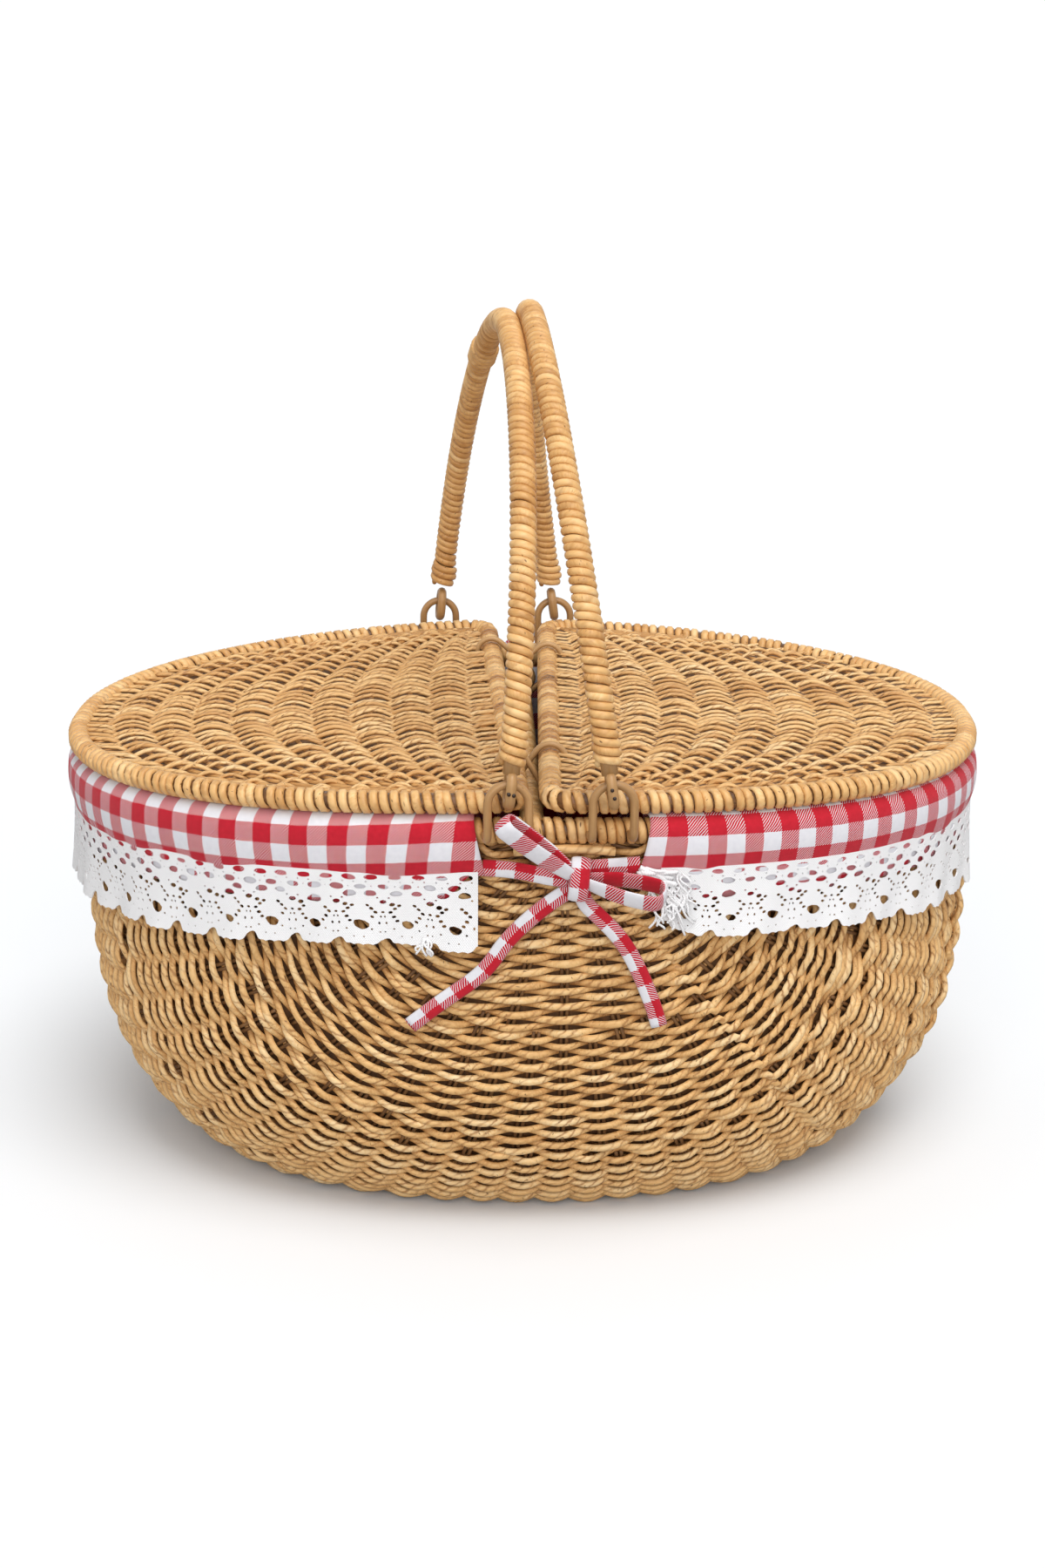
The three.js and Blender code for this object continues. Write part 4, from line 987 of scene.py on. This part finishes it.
for name, turned in (("left", False), ("right", True)):
    grid, coords, long, wide = cuffGrid(cuff, name, turned)
    made = clothGrid(name + "_cuff_cloth", grid, coords, ginghamCloth, cuff["thick"])
    settle(made, "basket", "gingham", name + "_cuff")
print("cuffs draped")

liner = {
    "inset": 0.0086, "thick": 0.0008, "top": 0.2065, "levels": 26, "around": 160, "floorRings": 10,
    "fold": 0.0016, "floorCheck": 0.011,
}


def linerGrid(look):
    around = np.linspace(0, 2 * np.pi, look["around"], endpoint=False)
    heights = np.linspace(1, 0, look["levels"]) ** 1.6
    rows, depth = [], 0.0
    foldWave = smoothNoise(look["around"], 6, 90)
    foldWave = foldWave * np.sin(np.linspace(0, np.pi, look["around"])) ** 0.3
    previous, coords = None, []
    x, y = planPoint(hoopHalf, around)
    girth = np.r_[0, np.cumsum(np.hypot(np.diff(x), np.diff(y)))]
    for height in heights:
        half = bodyHalf * wallShare(height) - look["inset"]
        z = look["inset"] + height * (look["top"] - look["inset"])
        slack = look["fold"] * (1 - height) * (foldWave - 1)
        x, y = planPoint(half, around)
        share = 1 + slack / np.hypot(x, y)
        ring = np.stack([x * share, y * share, z - droop(x) * z / form["rimHeight"]], -1)
        if height == 0:
            ring[:, 2] = look["inset"]
        depth += 0 if previous is None else np.linalg.norm(ring - previous, axis=1).mean()
        coords.append(np.stack([girth, np.full_like(girth, -depth)], -1))
        rows.append(ring)
        previous = ring
    for k in range(1, look["floorRings"] + 1):
        share = 1 - k / (look["floorRings"] + 0.02)
        rows.append(previous * np.array([share, share, 1]) + np.array([0, 0, 0.0004 * (k % 2)]))
        coords.append(np.stack([girth, np.full_like(girth, -depth - look["floorCheck"] * k)], -1))
    return np.array(rows), np.array(coords)


linerRows, linerCoords = linerGrid(liner)
linerCloth = clothGrid("liner_cloth", linerRows, linerCoords, ginghamCloth, liner["thick"], True)
settle(linerCloth, "basket", "liner_cotton", "liner_bag")
print("liner hung")

# the lace: a flat band with its holes, bent round the hem; a repeat is 22 units long and 33 deep
laceBand = {
    "repeat": 0.022, "units": 22, "unitsDeep": 33.0, "drop": 0.0365, "cloth": 0.80, "thick": 0.0007,
    "holes": 1.2, "uneven": 0.12, "lead": 0.014, "standOff": 0.0010, "overlap": 0.0012,
    "wave": 0.0011, "waveLong": 0.055, "flare": 0.0016, "ripple": 0.0006, "rippleLong": 0.023,
    "backExtra": 0.0035,
    "thread": 0.00055, "threads": {"left": 7, "right": 76}, "fatThreads": 22,
    "ends": {"left": (0.0640, 0.0200), "right": (0.0625, 0.0310)},
    "reach": {
        "left": [(-0.16, 0.0399), (-0.14, 0.0384), (-0.12, 0.0374), (-0.08, 0.0354), (-0.05, 0.0360),
                 (-0.035, 0.0390)],
        "right": [(0.0625, 0.0285), (0.071, 0.0310), (0.083, 0.0355), (0.09, 0.0350), (0.13, 0.0350),
                  (0.17, 0.0374), (0.19, 0.0400)]},
}


def oval(u, v, wide, tall, turn=0.0, count=10, point=0.0):
    angle = np.linspace(0, 2 * np.pi, count, endpoint=False)
    x, y = wide / 2 * np.cos(angle), tall / 2 * np.sin(angle)
    x = x * (1 - point * np.sin(angle))
    c, s = math.cos(turn), math.sin(turn)
    return np.stack([u + x * c - y * s, v + x * s + y * c], -1)


# holes of one repeat: middle, size and turn in units, corners, and how far a hole is drawn to a point
def repeatHoles():
    holes = [(0, -6.9, 5.3, 2.4, 0, 10, 0), (11, -6.9, 5.2, 2.3, 0, 10, 0),
             (6.1, -9.9, 5.0, 2.3, 0, 10, 0.2), (15.9, -9.9, 5.0, 2.3, 0, 10, 0.2),
             (11, -12.9, 5.4, 2.7, 0, 10, 0.3),
             (0, -13.7, 3.1, 1.7, 0.1, 8, 0), (11.5, -24.2, 5.6, 3.3, -0.2, 10, -0.25),
             (4.2, -14.9, 2.3, 1.5, 0.2, 8, 0), (0, -18.3, 1.5, 1.0, 0, 6, 0),
             (5.5, -2.6, 5.3, 2.1, 0, 10, 0), (16.5, -2.6, 5.3, 2.1, 0, 10, 0)]
    arch = [(3.6, 3.2), (5.5, 1.8), (7.5, 0.2), (6.0, -1.9), (4.5, -3.8)]
    pinholes = [(2.9, -4.7, 0.9, 0.6), (8.2, -4.5, 0.8, 0.7), (5.4, -6.7, 0.6, 0.7),
                (8.3, -11.9, 1.0, 0.7), (0.9, -20.3, 0.8, 0.9), (9.4, -23.2, 0.9, 1.2),
                (6.0, -26.0, 1.0, 0.8), (9.9, -27.2, 0.8, 0.7), (2.4, -29.4, 0.8, 0.6)]
    for side in (-1, 1):
        holes += [(11 + side * away, -18.6 + rise, 1.85, 1.2, -side * 0.2, 6, 0) for away, rise in arch]
        for away, v, wide, tall in pinholes:
            u = 11 + side * away if away > 1 else side * away
            holes.append((u, v, wide, tall, 0, 6, 0))
    return holes


# whether two holes lie clear of each other, seen along the line between them, along the band or down it
def apart(first, second, clear=0.2):
    for axis in (unit(second.mean(0) - first.mean(0)), (1, 0), (0, 1)):
        a, b = first @ np.array(axis), second @ np.array(axis)
        if b.min() - a.max() > clear or a.min() - b.max() > clear:
            return True
    return False


def laceFlat(look, repeats, seed):
    source = np.random.default_rng(seed)
    units = look["units"]
    end = units * repeats
    edge = [(u, 0) for u in np.linspace(0, end, 4 * repeats + 1)]
    edge += [(end, v) for v in (-6, -12, -18, -24)]
    notches = source.uniform(2.2, 4.2, repeats + 2)
    for u in np.linspace(end, 0, 30 * repeats + 1):
        k = int(round((u - 1.5) / units))
        notch = notches[k] * math.exp(-(abs(u - 1.5 - units * k) / 3.0) ** 4)
        edge.append((u, -look["unitsDeep"] + notch + 0.55 * abs(math.sin(math.pi * u / 4.4))))
    edge += [(0, v) for v in (-24, -18, -12, -6)]
    rings = [np.array(edge)]
    for k in range(repeats + 1):
        for u, v, wide, tall, turn, count, point in repeatHoles():
            big = tall > 2
            size = 1 + source.normal(0, look["uneven"] if big else 0.05)
            size = min(max(size, 0.8), 1.12) * look["holes"]
            ring = oval(units * k + u + (source.normal(0, 0.2) if big else 0), v, wide * size, tall * size,
                        turn + (source.normal(0, 0.06) if big else 0), count, point)
            if big:
                ring = ring.mean(0) + (ring - ring.mean(0)) * (1 + source.normal(0, 0.05, (count, 1)))
            near = [other for other in rings[1:][-110:] if abs(other[0, 0] - ring[0, 0]) < 9]
            inside = ring[:, 0].min() > 0.8 and ring[:, 0].max() < end - 0.8
            if inside and all(apart(ring, other) for other in near):
                rings.append(ring)
    owner = np.concatenate([np.full(len(ring), k) for k, ring in enumerate(rings)])
    edges = []
    for ring in rings:
        first = len(edges)
        edges += [(first + k, first + (k + 1) % len(ring)) for k in range(len(ring))]
    corners = [Vector(corner) for corner in np.vstack(rings)]
    points, _, faces, origin, _, _ = delaunay_2d_cdt(corners, edges, [], 1, 0.0001)
    owners = np.array([owner[found[0]] for found in origin])
    cloth = [face for face in faces if owners[face[0]] == 0 or len(set(owners[face])) > 1]
    return np.array(points), cloth


# where a spot of the lace lies, by its place along the band, its drop and how far it stands off
def laceSpot(look, name, angles, length, u, drop, off=0.0):
    turned = name == "right"
    angle = np.interp(u, length, angles)
    share = drop / look["drop"]
    fold = look["wave"] * np.sin(2 * np.pi * u / look["waveLong"] + (1.3 if turned else 0)) * share
    fold = fold + look["flare"] * share ** 2
    fold = fold + look["ripple"] * np.sin(2 * np.pi * u / look["rippleLong"] + 4 * share) * share
    out = cuff["radius"] - cuff["tuck"] + look["standOff"]
    x, y = planPoint(hoopHalf, angle)
    atX, reach = np.array(look["reach"][name]).T
    front = y > 0 if turned else y < 0
    atBack = look["drop"] + look["backExtra"] * np.abs(x) / hoopHalf[0]
    reach = np.where(front, np.interp(-x if turned else x, atX, reach), atBack)
    spot = rimPoint(angle, out + fold + off, -cuff["drop"][name] + look["overlap"] - share * reach)
    return halfTurn(spot) if turned else spot


# threads that have come loose: from a place along the band and a drop, to another place and drop
def looseThreads(look, name, angles, length, first):
    source = np.random.default_rng(63 if name == "right" else 62)
    strands = []
    t = np.linspace(0, 1, 14)
    for k in range(look["threads"][name]):
        size, curl = look["thread"], source.uniform(0.8, 2.4)
        if name == "left":  # a few at the hem near the bow
            fromAt, fromDrop = length[-1] - 0.0245 + source.uniform(-0.0015, 0.0015), 0.031
            toAt, toDrop = fromAt + source.uniform(-0.004, 0.004), source.uniform(0.037, 0.042)
        elif k < look["fatThreads"]:  # a puff of thick ones at the band's end
            size = source.uniform(0.0009, 0.0014)
            fromAt, fromDrop = first + source.uniform(-0.0105, -0.0060), source.uniform(-0.0010, 0.0030)
            toAt, toDrop = first + source.uniform(-0.0030, 0.0060), source.uniform(0.0010, 0.0160)
        else:  # fine ones beside the puff
            fromAt, fromDrop = first + source.uniform(-0.0060, 0.0110), source.uniform(0.002, 0.025)
            toAt, toDrop = fromAt + source.uniform(-0.003, 0.008), fromDrop + source.uniform(0.006, 0.014)
        sway = source.uniform(-0.0022, 0.0022) * np.sin(np.pi * t * curl)
        u = np.clip(fromAt + (toAt - fromAt) * t ** 1.3 + sway, 0.0003, length[-1])
        drop = fromDrop + (toDrop - fromDrop) * t
        off = 0.0012 + source.uniform(0.0, 0.0022) * np.sin(np.pi * t) + 0.0008 * t
        path = laceSpot(look, name, angles, length, u, drop, off)
        strands.append(rod(path, np.array([0, -1, 0]), size, girth=0.002))
    return strands


def laceStrip(side, look):
    name = side + "_lace_band"
    far, near = look["ends"][side]
    start, stop = hoopSpan(far - look["lead"], near)
    angles = np.linspace(start, stop, 800)
    length = runLength(rimPoint(angles, cuff["radius"] - cuff["tuck"], -cuff["drop"][side]))
    first = np.interp(hoopSpan(far, near)[0], angles, length)
    long = length[-1] - first
    repeats = int(round(long / look["repeat"]))
    flat, faces = laceFlat(look, repeats, 52 if side == "right" else 51)
    u = first + flat[:, 0] / (look["units"] * repeats) * long
    drop = -flat[:, 1] / look["unitsDeep"] * look["drop"]
    spot = laceSpot(look, side, angles, length, u, drop)
    coords = np.stack([u, -drop], -1)
    mesh = bpy.data.meshes.new(name)
    mesh.from_pydata(spot.tolist(), [], faces)
    layer = mesh.uv_layers.new(name="UVMap")
    index = np.empty(len(mesh.loops), int)
    mesh.loops.foreach_get("vertex_index", index)
    layer.data.foreach_set("uv", coords[index].ravel())
    piece = placed(name, mesh, laceCotton)
    bpy.ops.object.mode_set(mode="EDIT")
    bpy.ops.mesh.select_all(action="SELECT")
    bpy.ops.mesh.normals_make_consistent(inside=False)
    bpy.ops.object.mode_set(mode="OBJECT")
    thicken(piece, look["thick"], 0)
    bpy.ops.object.shade_smooth_by_angle(angle=math.radians(40))
    threads = strandMesh(name + "_threads", looseThreads(look, side, angles, length, first), laceCotton, 6)
    selectOnly(piece)
    threads.select_set(True)
    bpy.ops.object.join()
    return piece, long


for name in ("left", "right"):
    band, long = laceStrip(name, laceBand)
    settle(band, "basket", "lace_cotton", name + "_lace")
print("lace hung")

# a bow: folded ties, knot, loops and tails; ties and tails are given by X and Z
bow = {
    "wide": 0.0040, "flatWide": 0.010, "thick": 0.0011, "checkAt": 0.0051, "loopCheckAt": 0.0091,
    "shift": {"tie": 0.003, "loop": 0.006, "tail": 0.002, "knot": 0.001},
    "knotX": 0.0262, "knotZ": 0.1930, "knotY": -0.1746,
    "knotHalf": (0.0046, 0.0050, 0.0098), "facing": (0, -0.955, 0.298), "behind": 0.0032,
    "leftLoop": {"tip": (-0.0095, 0.2255, 0.0155), "round": 0.0042, "tilt": 33, "wide": 1.22},
    "rightLoop": {"tip": (0.0655, 0.1872, 0.0085), "round": 0.0062, "tilt": 45, "wide": 1.25},
    "leftTie": [(-0.0185, 0.1963), (-0.0060, 0.1957), (0.0040, 0.1940), (0.0140, 0.1920),
                (0.0215, 0.1915)],
    "rightTie": [(0.0545, 0.1968), (0.0420, 0.1966), (0.0300, 0.1968)],
    "tieStarts": {"front": (-0.0185, 0.0545), "back": (-0.0295, 0.0625)},
    "leftTail": [(0.024, 0.188), (0.017, 0.1825), (0.006, 0.174), (-0.007, 0.1613), (-0.0158, 0.1475),
                 (-0.0228, 0.1405), (-0.0388, 0.1285), (-0.0532, 0.1160)],
    "rightTail": [(0.027, 0.187), (0.029, 0.1785), (0.0344, 0.1735), (0.0463, 0.1605), (0.0545, 0.1452),
                  (0.0618, 0.1260), (0.0648, 0.1150)],
}
knotMiddle = np.array([bow["knotX"], bow["knotY"], bow["knotZ"]])


def ribbonStrand(path, up, shift, wide=1.0, checkAt="checkAt"):
    return {"path": path, "up": up, "wide": bow["wide"] * wide, "thick": bow["thick"],
            "girth": 4 * bow["wide"], "shift": shift, "roundShift": bow[checkAt]}


def tiePath(corners, startX):
    corners = np.array(corners)
    corners[0, 0] = startX
    hem = hoopHalf + cuff["radius"] - cuff["tuck"] - 0.0004
    path = rounded(np.column_stack([corners[:, 0], -planDepth(hem, corners[:, 0]), corners[:, 1]]))
    share = np.linspace(0, 1, len(path))
    path[:, 1] += (bow["knotY"] + bow["behind"] - path[-1, 1]) * share ** 2
    return path


# a loop of ribbon that stands open: its two layers lie apart, and its broad side is turned by the tilt
def loopPath(look):
    end = np.array([look["tip"][0], bow["knotY"] - look["tip"][2], look["tip"][1]])
    heading = unit(end - knotMiddle)
    facing = np.array(bow["facing"])
    facing = unit(facing - heading * (facing * heading).sum())
    rise = np.cross(heading, facing)
    rise = rise * np.sign(rise[2])
    tilt = math.radians(look["tilt"])
    apart = rise * math.sin(tilt) - facing * math.cos(tilt)
    reach, r = np.linalg.norm(end - knotMiddle), look["round"]
    side = [(0.002, 0.0012), (0.25 * reach, 0.55 * r), (0.55 * reach, 0.95 * r), (reach - r, r),
            (reach - 0.3 * r, 0.85 * r)]
    outline = [(along, -off) for along, off in side] + [(reach, 0)] + side[::-1]
    path = np.array([knotMiddle + heading * along + apart * off for along, off in outline])
    path = resample(rounded(path), 48)
    away = path - (knotMiddle + heading * reach * 0.6)
    away = away - heading * (away * heading).sum(1, keepdims=True) * 0.9
    share = ((path - knotMiddle) * heading).sum(1) / reach
    return path, away, look["wide"] * (0.66 + 0.34 * np.clip(share / 0.4, 0, 1))


def tailPath(corners):
    corners = rounded(np.insert(np.array(corners), 1, 0, axis=1))
    x, z = corners[:, 0], corners[:, 2]
    share = np.linspace(0, 1, len(x))
    lift = np.clip(1 - share / 0.25, 0, 1) ** 1.5
    y = -(wallDepth(x, z) + bow["thick"] + 0.0012) * (1 - lift) + (bow["knotY"] + 0.001) * lift
    return resample(np.stack([x, y, z], -1), 44)


def makeBow(end, sides, turned):
    def finish(strand, name, node):
        if turned:
            strand["path"], strand["up"] = halfTurn(strand["path"]), halfTurn(strand["up"])
        made = strandMesh(end + "_" + name, [strand], ginghamCloth, 12)
        settle(made, "basket", "gingham", end + "_" + node)

    outward = np.array([0, -1.0, 0.1])
    shift = bow["shift"]
    for k, hand in enumerate(("left", "right")):
        path = tiePath(bow[hand + "Tie"], bow["tieStarts"][end][k])
        finish(ribbonStrand(path, outward, shift["tie"]), sides[k] + "_tie_cloth", sides[k] + "_tie")
        path, away, wide = loopPath(bow[hand + "Loop"])
        loop = ribbonStrand(path, away, shift["loop"], wide, "loopCheckAt")
        finish(loop, sides[k] + "_bow_loop_cloth", sides[k] + "_bow_loop")
        path = tailPath(bow[hand + "Tail"])
        tail = ribbonStrand(path, outward, shift["tail"])
        finish(tail, sides[k] + "_bow_tail_cloth", sides[k] + "_bow_tail")
    turn = np.linspace(0, 2 * np.pi, 32, endpoint=False)
    wide, deep, tall = bow["knotHalf"]
    ring = knotMiddle + np.stack([0.0010 * np.sin(turn), deep * np.cos(turn), tall * np.sin(turn)], -1)
    band = ribbonStrand(ring, ring - knotMiddle, shift["knot"], wide / bow["wide"])
    finish({**band, "closed": True}, "bow_knot_cloth", "bow_knot")


makeBow("front", ("left", "right"), False)
makeBow("back", ("right", "left"), True)
print("bows tied")

# floor, light and camera
stage = {
    "size": 240.0, "white": (0.925, 0.945, 0.965), "bounce": 0.50, "worldLight": 0.42,
    "lights": [("softTopLight", 1.65, 36.0, (8.0, 18.0)), ("softFrontLight", 1.50, 60.0, (4.0, 66.0))],
}
bpy.ops.object.select_all(action="DESELECT")
bpy.ops.mesh.primitive_plane_add(size=stage["size"], location=(0, 0, 0))
floor = bpy.context.active_object
floor.name = "studio_floor"
floorPaper, tree, shader, _ = newFinish("paleFloor")
seen = addNode(tree, "LightPath").outputs["Is Camera Ray"]
paper = mixColour(tree, seen, (stage["bounce"],) * 3, stage["white"])
setShader(tree, shader, {"Base Color": paper, "Roughness": 1.0, "Specular IOR Level": 0.0})
floor.data.materials.append(floorPaper)

world = bpy.data.worlds.new("studioWorld")
scene.world = world
world.use_nodes = True
tree = world.node_tree
rays = addNode(tree, "LightPath").outputs
seen = calculate(tree, "MAXIMUM", rays["Is Camera Ray"], rays["Is Glossy Ray"])
seen = calculate(tree, "MAXIMUM", seen, rays["Is Transmission Ray"])
strength = calculate(tree, "MULTIPLY_ADD", seen, 1 - stage["worldLight"], stage["worldLight"])
setShader(tree, tree.nodes["Background"], {"Color": (1, 1, 1), "Strength": strength})

for name, strength, angle, (sideways, forward) in stage["lights"]:
    lamp = bpy.data.lights.new(name, "SUN")
    lamp.energy = strength
    lamp.angle = math.radians(angle)
    sun = bpy.data.objects.new(name, lamp)
    scene.collection.objects.link(sun)
    sun.rotation_euler = (math.radians(forward), math.radians(sideways), 0)

view = {
    "elevation": 17.33, "distance": 1.380, "lookAt": 0.1845, "sensor": 36, "clipEnd": 400,
    "focalPixels": 3014, "photoPixels": 1800,
}
cameraData = bpy.data.cameras.new("photoView")
cameraData.lens = view["focalPixels"] / view["photoPixels"] * view["sensor"]
cameraData.sensor_width = view["sensor"]
cameraData.clip_end = view["clipEnd"]
camera = bpy.data.objects.new("photoView", cameraData)
scene.collection.objects.link(camera)
tilt = math.radians(view["elevation"])
away, above = view["distance"] * math.cos(tilt), view["distance"] * math.sin(tilt)
camera.location = (0, -away, view["lookAt"] + above)
camera.rotation_euler = (math.pi / 2 - tilt, 0, 0)
scene.camera = camera
print("stage set")
